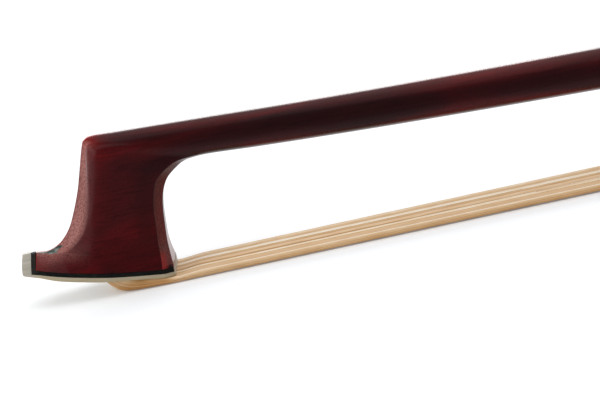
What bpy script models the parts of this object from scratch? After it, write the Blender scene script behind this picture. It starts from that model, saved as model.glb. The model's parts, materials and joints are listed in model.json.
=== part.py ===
"""A violin bow at its real size: stick, head, hank of hair, frog, screw and button.

Sizes are in millimetres, and MM turns them into metres where a mesh is made. Stations run along
the bow from the tip of the beak, y goes across it, and z is the height above the table on which
the bow rests with its hair down. The handle is straight and tilted, so what is on it is modelled
round the handle's own axis. The frog's body stands on the table and is modelled upright.
"""
import math

import bmesh
import bpy
import numpy as np

MM = 0.001

# Whole bow
LENGTH = 745.0
FIT = 0.05                  # glue line between laminated or pressed pieces
RUNNING = 0.3               # clearance of what slides or turns

# Stick
HEAD_DIAMETER = 5.8         # just behind the head
HANDLE_DIAMETER = 8.6       # across the flats of the eight-sided handle
TAPER_POWER = 2.2
CAMBER_START = 23.0         # station where the head ends and the camber begins
CAMBER_START_HEIGHT = 22.1
CAMBER_START_SLOPE = -0.086
CAMBER_REACH = (0.17, 0.20)  # handles of the camber's curve, as shares of its span
HANDLE_HEIGHT = 17.2        # axis above the table where the handle begins
HANDLE_TILT = math.radians(2.6)
HANDLE_LENGTH = 165.0       # from the end of the camber to the end of the wood
FLATS_FULL = 112.0          # length of the fully eight-sided part, from the end of the wood
FLATS_FADE = 12.0           # length over which the round stick turns eight-sided
ARRIS = math.radians(3.5)   # half the worn corner between two flats of the handle
NIPPLE_DIAMETER = 5.6
NIPPLE_LENGTH = 1.6

# Head
HEEL_STATION = 23.2
HEEL_HEIGHT = 2.45          # underside of the wood at the heel of the plate
HEEL_RISE = 0.1252          # slope of the underside there
PLATE_RADIUS = 161.0        # bend of the face plate
LINER_THICK = 0.65
PLATE_THICK = 0.6
LINER_FRONT = 0.75          # thickness of both sheets where they stand before the beak
PLATE_FRONT = 1.4
BEAK_FRONT = 2.0            # front of the wood at the foot of the beak
BEAK_LEAN = 0.16            # how far the beak leans back per height
BEAK_TOP = 8.45             # top of the wood at the beak
SHEET_RISE = 0.15           # how far both sheets stand above it

# Mortise of the head
TIP_POCKET_START = 13.4
TIP_POCKET_LENGTH = 6.5
TIP_POCKET_WIDTH = 6.8
TIP_POCKET_DEPTH = 5.2
TIP_POCKET_TAPER = 0.75     # loss of half-width towards its floor
TIP_KNOT_RADIUS = 1.15

# Hair
HAIR_THICK = 1.15           # of the free ribbon
HAIR_PRESSED = 0.95         # where it is pressed in the frog
HAIR_UNDER_PLATE = 0.95     # at the heel of the plate
HAIR_LIFT = 0.16            # height of the free ribbon above the table behind the head
HAIR_HEEL_WIDTH = 8.8
HAIR_FAN = 1.25             # half-width gained between the mortise and the heel
HAIR_FERRULE_WIDTH = 10.8
HAIR_FROG_WIDTH = 6.6
HAIR_RIDGES = 22
RIDGE_DEPTH = 0.12

# Frog, from the mouth of the ferrule
FROG_LENGTH = 47.0
FROG_SETBACK = 12.6         # wood left between the frog and the button
FROG_BOTTOM_WIDTH = 12.5
FROG_TOP_WIDTH = 10.8
FROG_EDGE_DROP = 2.07       # top edges of the frog below the stick's axis
THROAT_RADIUS = 4.6
FERRULE_LENGTH = 13.0
FERRULE_WIDTH = 13.0
FERRULE_HEIGHT = 7.0
FERRULE_SIDE = 1.2          # straight side below the arch
FERRULE_WALL = 0.6
FLAT_HEIGHT = 3.05          # flat of the tongue above the table
CHANNEL_LINER = 0.4
SLIDE_WIDTH = 7.6
SLIDE_FLARE = 0.45          # dovetail
PEARL_THICK = 0.95
PEARL_RECESS = 0.15
BACKING_THICK = 0.55
HEEL_LEG = 11.0             # length of the heel plate under the frog
HEEL_BACK = 12.1            # height of the heel plate behind it
HEEL_THICK = 0.8
FROG_POCKET_START = 19.5
FROG_POCKET_LENGTH = 7.5
FROG_POCKET_WIDTH = 7.2
FROG_POCKET_TOP = 7.6
EYE_STATION = 27.0
EYE_HEIGHT = 10.6
EYE_RING_DIAMETER = 8.0
EYE_DIAMETER = 6.3
EYE_RING_WALL = 0.55
EYE_DEPTH = 1.1
PIN_DIAMETER = 1.2
PIN_LENGTH = 3.4
HEEL_PIN_HEIGHTS = (4.2, 9.4)
LINER_SCREW_STATIONS = (17.5, 41.5)

# Screw, eyelet and button, along the handle's axis
PITCH = 0.8
SCREW_DIAMETER = 2.8
THREAD_DEPTH = 0.35
THREAD_TURNS = 22
SCREW_REACH = 44.0          # how far the screw goes into the wood
EYELET_STATION = 29.5       # from the mouth of the ferrule
EYELET_LENGTH = 4.5
EYELET_WIDTH = 5.0
EYELET_TOP = 2.3
EYELET_BOTTOM = -2.7
SHANK_DIAMETER = 3.6
SHANK_LENGTH = 9.0
TRAVEL_LOOSE = 6.0          # the frog's way towards the head
TRAVEL_TIGHT = 1.5          # and towards the button
BUTTON_LENGTH = 14.4
BUTTON_DIAMETER = 8.8
BUTTON_BAND = 4.2           # length of each metal band
BUTTON_BAND_WALL = 0.7
BUTTON_WAIST = 8.0
BUTTON_PEARL = 5.0
TANG_LENGTH = 9.0

# Grip
LEATHER_LENGTH = 29.0
LEATHER_THICK = 0.9
LEATHER_TO_FROG = 8.0       # leather to the frog's ferrule, room for the loose frog
LAPPING_LENGTH = 66.0
LAPPING_THICK = 0.35
GRIP_GAP = 0.3

# Places that follow from the sizes above
HANDLE_START = LENGTH - (HANDLE_LENGTH + RUNNING + BUTTON_LENGTH) * math.cos(HANDLE_TILT)
FROG_START = HANDLE_LENGTH - FROG_SETBACK - FROG_LENGTH     # along the handle's axis
MOUTH = HANDLE_START + FROG_START * math.cos(HANDLE_TILT)   # station of the ferrule's mouth
LINER_INNER = HANDLE_DIAMETER / 2 + RUNNING                 # apothems of the channel
LINER_OUTER = LINER_INNER + CHANNEL_LINER
CHANNEL = LINER_OUTER + FIT
BORE = SCREW_DIAMETER + 2 * RUNNING
EYELET_AXIAL = FROG_START + EYELET_STATION / math.cos(HANDLE_TILT)
SLIDE_TOP = PEARL_RECESS + PEARL_THICK + FIT + BACKING_THICK
OCTAGON = math.tan(math.pi / 8)

COLOURS = {
    "wood": (0.105, 0.022, 0.016, 1.0),
    "ebony": (0.012, 0.010, 0.010, 1.0),
    "ivory": (0.47, 0.40, 0.30, 1.0),
    "hair": (0.66, 0.46, 0.22, 1.0),
    "silver": (0.70, 0.69, 0.66, 1.0),
    "pearl": (0.72, 0.74, 0.72, 1.0),
    "brass": (0.66, 0.46, 0.17, 1.0),
    "steel": (0.42, 0.42, 0.43, 1.0),
    "leather": (0.030, 0.018, 0.014, 1.0),
    "maple": (0.52, 0.36, 0.20, 1.0),
}
METALS = ("silver", "brass", "steel")
ROUGHNESS = {"wood": 0.35, "ebony": 0.40, "ivory": 0.45, "hair": 0.55, "silver": 0.28,
             "pearl": 0.22, "brass": 0.30, "steel": 0.35, "leather": 0.70, "maple": 0.60}


def clear_scene():
    """Removes the objects of the open file."""
    for item in list(bpy.data.objects):
        bpy.data.objects.remove(item, do_unlink=True)


def finish(name, kind):
    """A Principled material of its own for one object."""
    material = bpy.data.materials.new(name + "_" + kind)
    material.use_nodes = True
    shader = material.node_tree.nodes["Principled BSDF"]
    shader.inputs["Base Color"].default_value = COLOURS[kind]
    shader.inputs["Roughness"].default_value = ROUGHNESS[kind]
    shader.inputs["Metallic"].default_value = 1.0 if kind in METALS else 0.0
    return material


def add_object(name, points, faces, kind, parent, sharp=35.0):
    """A named mesh object from points in millimetres, with its faces turned outwards."""
    mesh = bpy.data.meshes.new(name)
    mesh.from_pydata([tuple(p) for p in np.asarray(points, dtype=float) * MM], [], faces)
    work = bmesh.new()
    work.from_mesh(mesh)
    bmesh.ops.recalc_face_normals(work, faces=work.faces)
    work.to_mesh(mesh)
    work.free()
    mesh.shade_smooth()
    mesh.set_sharp_from_angle(angle=math.radians(sharp))
    item = bpy.data.objects.new(name, mesh)
    bpy.context.scene.collection.objects.link(item)
    item.parent = parent
    if kind is None:
        item.hide_render = True
        item.display_type = "WIRE"
    else:
        mesh.materials.append(finish(name, kind))
    return item


def combine(target, tool, operation="DIFFERENCE"):
    """Cuts, joins or intersects an object with a tool shape, which stays as a guide."""
    step = target.modifiers.new(tool.name, "BOOLEAN")
    step.object = tool
    step.operation = operation
    step.solver = "EXACT"


def add_empty(name, parent, place, tilt=0.0):
    """An empty at a place in millimetres, tilted about y."""
    empty = bpy.data.objects.new(name, None)
    bpy.context.scene.collection.objects.link(empty)
    empty.parent = parent
    empty.location = [value * MM for value in place]
    empty.rotation_euler = (0.0, tilt, 0.0)
    return empty


def mirrored(half):
    """A closed ring from the points of its right half, front to rear, as (x, y, z)."""
    half = np.asarray(half, dtype=float)
    return np.vstack([half, half[::-1] * (1.0, -1.0, 1.0)])


def loft(rings):
    """Points and faces of a skin through mirrored rings, with both ends closed by strips."""
    count, size = len(rings), len(rings[0])
    faces = []
    for i in range(count - 1):
        for j in range(size):
            k = (j + 1) % size
            faces.append((i * size + j, i * size + k, (i + 1) * size + k, (i + 1) * size + j))
    for start in (0, (count - 1) * size):
        for j in range(size // 2 - 1):
            faces.append((start + j, start + j + 1, start + size - 2 - j, start + size - 1 - j))
    return np.vstack(rings), faces


def prism(outline, low, high, axis):
    """Points and faces of a flat outline pushed from low to high along an axis, 'x' or 'y'."""
    outline = np.asarray(outline, dtype=float)
    layers = []
    for value in (low, high):
        column = np.full(len(outline), float(value))
        if axis == "x":
            layers.append(np.column_stack([column, outline[:, 0], outline[:, 1]]))
        else:
            layers.append(np.column_stack([outline[:, 0], column, outline[:, 1]]))
    size = len(outline)
    faces = [tuple(range(size)), tuple(range(size, 2 * size))]
    for j in range(size):
        k = (j + 1) % size
        faces.append((j, k, size + k, size + j))
    return np.vstack(layers), faces


def turned(profile, sides, centre=(0.0, 0.0, 0.0), axis="x", closed=False, phase=0.0):
    """A profile of (along, radius) points turned about an axis, 'x', 'y' or 'z'.

    An open profile starts and ends on the axis with radius 0; a closed one is a ring.
    """
    angles = phase + np.arange(sides) * 2 * math.pi / sides
    across, up = np.sin(angles), np.cos(angles)
    points, rows, faces = [], [], []
    for along, radius in profile:
        if radius == 0.0:
            rows.append([len(points)] * sides)
            points.append((along, 0.0, 0.0))
        else:
            rows.append(list(range(len(points), len(points) + sides)))
            points.extend(zip([along] * sides, radius * across, radius * up))
    pairs = list(zip(rows, rows[1:]))
    if closed:
        pairs.append((rows[-1], rows[0]))
    for first, second in pairs:
        for j in range(sides):
            k = (j + 1) % sides
            corners = [first[j], first[k], second[k], second[j]]
            faces.append(tuple(dict.fromkeys(corners)))
    points = np.array(points)
    order = {"x": [0, 1, 2], "y": [1, 0, 2], "z": [2, 1, 0]}[axis]
    return points[:, order] + centre, faces


def bezier(points, t):
    """Cubic Bezier curve through four control points at parameters t."""
    t = np.atleast_1d(t)[:, None]
    p = np.asarray(points, dtype=float)
    return ((1 - t) ** 3 * p[0] + 3 * (1 - t) ** 2 * t * p[1]
            + 3 * (1 - t) * t ** 2 * p[2] + t ** 3 * p[3])


def smooth_rows(rows, steps):
    """Catmull-Rom curve through rows of values, with a number of steps between each two."""
    rows = np.asarray(rows, dtype=float)
    padded = np.vstack([2 * rows[0] - rows[1], rows, 2 * rows[-1] - rows[-2]])
    result = []
    for i in range(1, len(padded) - 2):
        a, b, c, d = padded[i - 1:i + 3]
        for t in np.arange(steps) / steps:
            result.append(b + 0.5 * t * (c - a + t * (2 * a - 5 * b + 4 * c - d
                                                      + t * (3 * (b - c) + d - a))))
    result.append(rows[-1])
    return np.array(result)


def strip(path, half_widths, half_heights):
    """A flat band carried along a path of (x, z) points: eight-sided rings square to it."""
    path = np.asarray(path, dtype=float)
    along = np.gradient(path, axis=0)
    along /= np.linalg.norm(along, axis=1)[:, None]
    rings = []
    for (x, z), (dx, dz), w, h in zip(path, along, half_widths, half_heights):
        edge = min(0.6 * h, 0.5 * w)
        half = [(-h, w - edge), (-h + edge, w), (h - edge, w), (h, w - edge)]
        rings.append(mirrored([(x - dz * n, y, z + dx * n) for n, y in half]))
    return loft(rings)


def axis_height(station):
    """Height of the handle's axis above the table at a station."""
    return HANDLE_HEIGHT + (station - HANDLE_START) * math.tan(HANDLE_TILT)


def camber(count):
    """Points and directions of the stick's axis between the head and the handle."""
    start = np.array([CAMBER_START, CAMBER_START_HEIGHT])
    end = np.array([HANDLE_START, HANDLE_HEIGHT])
    span = end[0] - start[0]
    leave = span * CAMBER_REACH[0] * np.array([1.0, CAMBER_START_SLOPE])
    arrive = span * CAMBER_REACH[1] * np.array([1.0, math.tan(HANDLE_TILT)])
    t = np.linspace(0.0, 1.0, count) ** 1.15
    points = bezier([start, start + leave, end - arrive, end], t)
    along = np.gradient(bezier([start, start + leave, end - arrive, end],
                               np.linspace(0.0, 1.0, 401)), axis=0)
    along /= np.linalg.norm(along, axis=1)[:, None]
    at = np.clip(np.round(t * 400).astype(int), 1, 399)
    return points, along[at]


def stick_diameter(station):
    """Diameter grows quickly behind the head and hardly at all near the handle."""
    share = np.clip((station - CAMBER_START) / (HANDLE_START - CAMBER_START), 0.0, 1.0)
    return HEAD_DIAMETER + (HANDLE_DIAMETER - HEAD_DIAMETER) * (1 - (1 - share) ** TAPER_POWER)


def round_angles():
    """Angles from the top of the eight right-hand points of a round section."""
    return math.pi / 16 + np.arange(8) * math.pi / 8


def octagon_angles():
    """Angles from the top of the eight right-hand points of a section with worn corners."""
    corners = math.pi / 8 + np.arange(4) * math.pi / 4
    return np.sort(np.concatenate([corners - ARRIS, corners + ARRIS]))


def stick_ring(centre, along, diameter, flatness=0.0):
    """A ring square to the axis, round at flatness 0 and eight-sided at 1."""
    angles = (1 - flatness) * round_angles() + flatness * octagon_angles()
    turn = np.abs((octagon_angles() + math.pi / 8) % (math.pi / 4) - math.pi / 8)
    radius = diameter / 2 * ((1 - flatness) + flatness / np.cos(turn))
    up = radius * np.cos(angles)
    half = np.column_stack([centre[0] - along[1] * up, radius * np.sin(angles),
                            centre[1] + along[0] * up])
    return mirrored(half)


def underside(station):
    """Height of the wood's underside at the head: a slope with a long bend."""
    back = HEEL_STATION - np.asarray(station, dtype=float)
    return HEEL_HEIGHT + HEEL_RISE * back + back ** 2 / (2 * PLATE_RADIUS)


def leaning(height, front=BEAK_FRONT, offset=0.0):
    """Station at a height on a side of the beak that starts at a front station, offset below."""
    return front + BEAK_LEAN * (height - float(underside(front)) + offset)


# Sections of the head, from the plate to the nose: front point and rear point of the section as
# station and height, half-width of the ridge, then depth behind the ridge and half-width of the
# front facet's edge and of the cheek's front edge, then depth before the rear and half-width of
# the cheek's rear edge, and half-width of the rear flat.
HEAD_SECTIONS = (
    (BEAK_FRONT, float(underside(BEAK_FRONT)), HEEL_STATION, HEEL_HEIGHT,
     3.10, 5.0, 4.20, 11.0, 4.72, 1.80, 4.40, 3.40),
    (leaning(7.45), 7.45, 23.05, 4.00, 1.90, 4.4, 3.00, 10.0, 4.20, 1.50, 4.00, 2.50),
    (leaning(BEAK_TOP), BEAK_TOP, 22.98, 5.30, 0.30, 4.0, 1.70, 9.3, 3.65, 1.40, 3.75, 2.00),
    (4.40, 8.47, 22.95, 6.20, 0.30, 3.2, 1.70, 7.4, 3.45, 1.35, 3.60, 1.75),
    (6.46, 9.39, 22.97, 7.40, 0.30, 2.6, 1.80, 5.6, 3.25, 1.35, 3.45, 1.60),
    (8.17, 11.06, 23.10, 9.20, 0.30, 2.5, 2.15, 4.1, 3.10, 1.35, 3.20, 1.40),
    (9.50, 13.30, 23.45, 11.60, 0.30, 2.4, 2.40, 3.2, 3.00, 1.40, 3.00, 1.25),
    (11.00, 16.80, 24.00, 14.00, 0.30, 1.9, 2.15, 2.9, 2.88, 1.50, 2.88, 1.20),
    (12.20, 20.30, 25.20, 16.25, 0.30, 1.45, 1.80, 2.6, 2.80, 1.70, 2.80, 1.20),
    (13.30, 23.60, 27.30, 17.85, 0.35, 1.1, 1.50, 2.3, 2.75, 1.60, 2.75, 1.15),
)
NOSE_SECTIONS = (
    # front station, front height, rear station, rear height, share of roundness
    (14.00, 24.80, 28.90, 18.35, 0.25),
    (15.40, 25.22, 30.30, 18.45, 0.55),
    (19.50, 24.98, 31.60, 18.45, 0.80),
    (26.50, 24.62, 33.50, 18.36, 0.95),
)
FACET_HOLLOW = 0.16         # how far the front facets are carved in


def head_half(section, hollow=FACET_HOLLOW):
    """Right half of one head section as (depth, half-width) points, front to rear."""
    (front_x, front_z, rear_x, rear_z, ridge, facet_u, facet_y,
     cheek_u, cheek_y, rear_u, rear_y, flat_y) = section
    length = math.hypot(rear_x - front_x, rear_z - front_z)
    middle = (facet_u / 2 + 0.5 * hollow, (ridge + facet_y) / 2 - hollow)
    cheek_end = length - rear_u
    cheek = [(cheek_u + (cheek_end - cheek_u) * share, cheek_y + (rear_y - cheek_y) * share)
             for share in (0.0, 1 / 3, 2 / 3, 1.0)]
    return np.array([(0.0, ridge), middle, (facet_u, facet_y)] + cheek + [(length, flat_y)])


def round_half(length, width):
    """Right half of a round section of that length and width, in the same eight points."""
    angles = round_angles()
    return np.column_stack([length / 2 * (1 - np.cos(angles)), width / 2 * np.sin(angles)])


def place_half(half, front, rear, sag=0.0):
    """Puts (depth, half-width) points on the line from front to rear, bent by a sag."""
    front, rear = np.array(front, dtype=float), np.array(rear, dtype=float)
    length = np.linalg.norm(rear - front)
    share = half[:, 0] / length
    spots = front + (rear - front) * share[:, None]
    drop = sag * (spots[:, 0] - front[0]) * (rear[0] - spots[:, 0]) / (2 * PLATE_RADIUS)
    return mirrored(np.column_stack([spots[:, 0], half[:, 1], spots[:, 1] - drop]))


def head_rings():
    """Rings of the head, fanned from the flat plate to the upright section of the shaft."""
    rings = []
    low = HEAD_SECTIONS[:3]
    for i, section in enumerate(low):
        half = head_half(section, FACET_HOLLOW * (i - 1))
        rings.append(place_half(half, section[0:2], section[2:4], 1 - i / 4))
    steps = 2
    rows = smooth_rows(HEAD_SECTIONS[2:], steps)
    for i, section in enumerate(rows[1:]):
        sag = max(0.0, 0.5 - (i + 1) / (4 * steps))
        rings.append(place_half(head_half(section), section[0:2], section[2:4], sag))
    last = HEAD_SECTIONS[-1]
    for front_x, front_z, rear_x, rear_z, roundness in NOSE_SECTIONS:
        length = math.hypot(rear_x - front_x, rear_z - front_z)
        carved = head_half((front_x, front_z, rear_x, rear_z) + last[4:])
        turned_half = round_half(length, HEAD_DIAMETER)
        half = (1 - roundness) * carved + roundness * turned_half
        rings.append(place_half(half, (front_x, front_z), (rear_x, rear_z)))
    return rings


def make_stick(bow, handle_empty):
    """The stick: head, cambered round shaft and eight-sided handle in one piece of wood."""
    rings = head_rings()
    points, along = camber(34)
    for centre, direction in zip(points, along):
        if centre[0] > NOSE_SECTIONS[-1][2] + HEAD_DIAMETER:
            rings.append(stick_ring(centre, direction, stick_diameter(centre[0])))
    handle_dir = (math.cos(HANDLE_TILT), math.sin(HANDLE_TILT))
    start = np.array([HANDLE_START, HANDLE_HEIGHT])
    flats = HANDLE_LENGTH - FLATS_FULL
    for axial, flatness in ((flats - FLATS_FADE, 0.0), (flats, 1.0), (HANDLE_LENGTH, 1.0)):
        centre = start + axial * np.array(handle_dir)
        rings.append(stick_ring(centre, handle_dir, HANDLE_DIAMETER, flatness))
    for axial in (HANDLE_LENGTH, HANDLE_LENGTH + NIPPLE_LENGTH):
        centre = start + axial * np.array(handle_dir)
        rings.append(stick_ring(centre, handle_dir, NIPPLE_DIAMETER))
    stick = add_object("stick", *loft(rings), "wood", bow)

    slot_start = EYELET_AXIAL - EYELET_LENGTH / 2 - TRAVEL_LOOSE - 2 * RUNNING
    slot_end = EYELET_AXIAL + EYELET_LENGTH / 2 + TRAVEL_TIGHT + 2 * RUNNING
    half = EYELET_WIDTH / 2 + RUNNING
    top = EYELET_TOP + RUNNING
    bottom = -HANDLE_DIAMETER
    slot = [(slot_start, bottom), (slot_end, bottom), (slot_end, top), (slot_start, top)]
    combine(stick, add_object("cut_eyelet_slot", *prism(slot, -half, half, "y"), None,
                              handle_empty))
    end = HANDLE_LENGTH + NIPPLE_LENGTH + 1.0
    deep = HANDLE_LENGTH - SCREW_REACH - RUNNING
    bore = turned([(deep, 0.0), (deep, BORE / 2), (end, BORE / 2), (end, 0.0)], 14)
    combine(stick, add_object("cut_screw_bore", *bore, None, handle_empty))
    return stick


def pocket_tool(bow):
    """Tapered tool that cuts the head's mortise through plate, liner and wood."""
    ceiling = float(underside(TIP_POCKET_START + TIP_POCKET_LENGTH / 2)) + TIP_POCKET_DEPTH
    floor = -1.0
    rings = []
    for height in (floor, ceiling):
        share = (height - floor) / (ceiling - floor)
        half = TIP_POCKET_WIDTH / 2 - TIP_POCKET_TAPER * share
        front = TIP_POCKET_START
        back = TIP_POCKET_START + TIP_POCKET_LENGTH
        rings.append(mirrored([(front, half, height), (back, half, height)]))
    return add_object("cut_tip_mortise", *loft(rings), None, bow)


def laminate(offset, thick, front_offset, front_thick):
    """Points and faces of an L-shaped sheet under the head, turned up before the beak.

    Its inner side lies at an offset from the wood. Half-widths follow the head's outline.
    """
    plate = HEAD_SECTIONS[0]
    outline = head_half(plate, -FACET_HOLLOW)
    outline[:, 0] += plate[0]
    stations = np.concatenate([np.linspace(BEAK_FRONT, 21.6, 9), [22.6, HEEL_STATION]])
    widths = np.interp(stations, outline[:, 0], outline[:, 1])
    rings = []
    shoulder, top = HEAD_SECTIONS[1], HEAD_SECTIONS[2]
    inner = BEAK_FRONT - front_offset
    outer = inner - front_thick
    rows = [(top[1] + SHEET_RISE, top[4] + 0.1), (shoulder[1], shoulder[4] + 0.1)]
    for height, half in rows:
        rings.append(mirrored([(leaning(height, inner, offset), half, height),
                               (leaning(height, outer, offset + thick), half, height)]))
    corner_in = float(underside(inner)) - offset
    corner_out = float(underside(outer)) - offset - thick
    rings.append(mirrored([(inner, widths[0], corner_in), (outer, widths[0], corner_out)]))
    for station, half in zip(stations[1:], widths[1:]):
        height = float(underside(station)) - offset
        rings.append(mirrored([(station, half, height), (station, half, height - thick)]))
    return loft(rings)


def make_head_sheets(bow, mortise):
    """Black liner against the wood, then the pale face plate."""
    first = laminate(FIT, LINER_THICK, FIT, LINER_FRONT)
    second = laminate(2 * FIT + LINER_THICK, PLATE_THICK, 2 * FIT + LINER_FRONT, PLATE_FRONT)
    liner = add_object("tip_liner", *first, "ebony", bow)
    plate = add_object("tip_plate", *second, "ivory", bow)
    combine(liner, mortise)
    combine(plate, mortise)


def plate_bottom(station):
    """Height of the face plate's outer side."""
    return float(underside(station)) - 2 * FIT - LINER_THICK - PLATE_THICK


def make_tip_plug(bow):
    """Wooden plug that locks the hair in the head, flush with the plate."""
    front = TIP_POCKET_START + 2 * RUNNING + HAIR_PRESSED + 0.2
    back = TIP_POCKET_START + TIP_POCKET_LENGTH - RUNNING
    low = TIP_POCKET_WIDTH / 2 - RUNNING - 0.15
    high = low - 0.35
    top = plate_bottom(back) + 3.4
    rings = [mirrored([(front, low, plate_bottom(front)), (back, low, plate_bottom(back))]),
             mirrored([(front, high, top + 0.2), (back, high, top)])]
    add_object("tip_plug", *loft(rings), "maple", bow)
    return front, top + 0.2


def make_tip_knot(bow, plug_front, plug_top):
    """Thread-bound end of the hank above the plug, with its hair led down the front wall."""
    line = (TIP_POCKET_START + RUNNING + plug_front - RUNNING) / 2 - 0.05
    middle = plug_top + RUNNING + TIP_KNOT_RADIUS
    back = TIP_POCKET_START + TIP_POCKET_LENGTH - 2 * RUNNING
    path = [(back, middle), (back - 0.5, middle), (back - 2.2, middle), (back - 3.1, middle - 0.1),
            (line + 0.5, middle - 0.5), (line + 0.05, middle - 1.4), (line, middle - 2.4),
            (line, plate_bottom(line) + 0.75)]
    thin = 0.42
    knot = TIP_KNOT_RADIUS
    heights = [0.5 * knot, knot, knot, 0.7 * knot, thin, thin, thin, thin]
    wide = TIP_POCKET_WIDTH / 2 - RUNNING - 0.75
    widths = [0.6 * wide, 0.8 * wide, 0.85 * wide, wide, wide, wide, wide, wide]
    add_object("tip_hair_knot", *strip(path, widths, heights), "hair", bow)
    return line


def hair_path(line):
    """The ribbon's middle line and half-thickness as rows of (station, height, half-thickness):
    the fold under the head, then nearly straight to the frog."""
    half, pressed, heel = HAIR_THICK / 2, HAIR_PRESSED / 2, HAIR_UNDER_PLATE / 2
    rim = plate_bottom(HEEL_STATION) - FIT - heel
    plate = plate_bottom(line)
    fold = [(line, plate + 0.45, pressed), (line - 0.08, plate + 0.13, pressed),
            (line - 0.63, plate - 0.37, 0.95 * half), (line - 0.89, 1.65, half),
            (line - 0.65, 1.12, half), (line + 0.10, 0.78, half), (line + 1.35, 0.62, 0.95 * half),
            (line + 2.95, heel, heel), (line + 5.25, heel + 0.05, heel), (HEEL_STATION, rim, heel)]
    free = HAIR_LIFT + half
    mouth = FERRULE_WALL + 0.25 + pressed
    inside = SLIDE_TOP + 0.2 + pressed
    start = HEEL_STATION + 4.0
    run = [(station, free + (mouth - free) * (station - start) / (MOUTH - start), half)
           for station in np.linspace(start, MOUTH - 12.0, 8)]
    frog = [(MOUTH, mouth, pressed), (MOUTH + 4.0, mouth + 0.25, pressed),
            (MOUTH + FERRULE_LENGTH - 2.0, inside - 0.1, pressed),
            (MOUTH + FERRULE_LENGTH + 1.0, inside, pressed),
            (MOUTH + FROG_POCKET_START - 0.6, inside, pressed)]
    return np.array(fold + run + frog)


def hair_width(station, height):
    """Half-width of the ribbon: narrow in the head, spread by the wedge, narrow in the frog."""
    free = (station - HEEL_STATION) / (MOUTH - HEEL_STATION)
    heel, spread = HAIR_HEEL_WIDTH / 2, HAIR_FERRULE_WIDTH / 2
    if free <= 0.0:
        share = (station - TIP_POCKET_START) / (HEEL_STATION - TIP_POCKET_START)
        fanned = heel - HAIR_FAN * (1 - max(0.0, min(1.0, share))) ** 2
        inside = TIP_POCKET_WIDTH / 2 - RUNNING - 0.45
        rise = max(0.0, min(1.0, (height - 1.2) / 1.5))
        return fanned + (inside - fanned) * rise
    if free <= 1.0:
        return heel + (spread - heel) * free ** 0.6
    inside = min(1.0, (station - MOUTH) / (FERRULE_LENGTH - 2.0))
    return spread + (HAIR_FROG_WIDTH / 2 - spread) * inside


def make_hair(bow, line):
    """The hank of hair as one closed ribbon with lengthwise ridges on both faces."""
    rows = hair_path(line)
    path = rows[:, :2]
    along = np.gradient(path, axis=0)
    along /= np.linalg.norm(along, axis=1)[:, None]
    across = np.linspace(1.0, -1.0, 2 * HAIR_RIDGES + 1)
    groove = RIDGE_DEPTH * (np.arange(2 * HAIR_RIDGES + 1) % 2)
    rings = []
    for i, ((x, z), (dx, dz)) in enumerate(zip(path, along)):
        half = hair_width(x, z if i < 6 else 0.0)
        edge = rows[i, 2] * (1 - 0.12 * across ** 8) - groove
        upper = np.column_stack([x - dz * edge, across * half, z + dx * edge])
        lower = np.column_stack([x + dz * edge, across * half, z - dx * edge])
        rings.append(np.vstack([upper, lower[::-1]]))
    size = len(rings[0])
    faces = []
    for i in range(len(rings) - 1):
        for j in range(size):
            k = (j + 1) % size
            faces.append((i * size + j, i * size + k, (i + 1) * size + k, (i + 1) * size + j))
    for start in (0, (len(rings) - 1) * size):
        for j in range(size // 2 - 1):
            faces.append((start + j, start + j + 1, start + size - 2 - j, start + size - 1 - j))
    add_object("hair_ribbon", np.vstack(rings), faces, "hair", bow)


def sleeve(inner, outer, start, end, taper, sides_angles):
    """Points and faces of a tube round the handle from start to end, thinner at both ends."""
    angles = np.concatenate([sides_angles, 2 * math.pi - sides_angles[::-1]])
    rows = [(start, inner), (start, inner + taper), (start + 1.0, outer), (end - 1.0, outer),
            (end, inner + taper), (end, inner)]
    turn = np.abs((angles + math.pi / 8) % (math.pi / 4) - math.pi / 8)
    corner = 1 / np.cos(turn)
    points, faces = [], []
    for axial, apothem in rows:
        radius = apothem * corner
        points.extend(zip(np.full(len(angles), axial), radius * np.sin(angles),
                          radius * np.cos(angles)))
    size = len(angles)
    for i in range(len(rows)):
        n = (i + 1) % len(rows)
        for j in range(size):
            k = (j + 1) % size
            faces.append((i * size + j, i * size + k, n * size + k, n * size + j))
    return np.array(points), faces


def make_grip(handle):
    """Leather where the thumb and finger rest, and the wound wire in front of it."""
    apothem = HANDLE_DIAMETER / 2 + FIT
    leather_end = FROG_START - LEATHER_TO_FROG
    leather_start = leather_end - LEATHER_LENGTH
    outer = apothem + LEATHER_THICK
    add_object("thumb_leather", *sleeve(apothem, outer, leather_start, leather_end, 0.3,
                                        octagon_angles()), "leather", handle)
    lapping_end = leather_start - GRIP_GAP
    outer = apothem + LAPPING_THICK
    add_object("lapping", *sleeve(apothem, outer, lapping_end - LAPPING_LENGTH, lapping_end, 0.25,
                                  octagon_angles()), "silver", handle)


def octagon_outline(apothem, top):
    """Outline across the handle of its lower three flats, closed above at a height top."""
    side = apothem * OCTAGON
    return [(-apothem, top), (-apothem, -side), (-side, -apothem), (side, -apothem),
            (apothem, -side), (apothem, top)]


def frog_side_tool(frog):
    """Front view of the frog, wider below, as a tool that trims block and heel plate."""
    low, high = FROG_BOTTOM_WIDTH / 2, FROG_TOP_WIDTH / 2
    half = [(low, -1.0), (low, 1.2), (low - 0.25, 4.0), (high + 0.15, 9.0), (high - 0.05, 14.0),
            (high, 40.0)]
    outline = half + [(-y, z) for y, z in half[::-1]]
    return add_object("trim_frog_sides", *prism(outline, -5.0, FROG_LENGTH + 5.0, "x"), None, frog)


def ferrule_half(inset, low):
    """Right half of the ferrule's outline as (y, z): a side, then half an ellipse to the top."""
    wide = FERRULE_WIDTH / 2 - inset
    top = FERRULE_HEIGHT - inset
    angles = np.linspace(0.0, math.pi / 2, 7)
    arch = [(wide * math.cos(a), FERRULE_SIDE + (top - FERRULE_SIDE) * math.sin(a))
            for a in angles[:-1]]
    return [(wide, low)] + [point for point in arch if point[1] > low + 0.2], (0.0, top)


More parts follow.
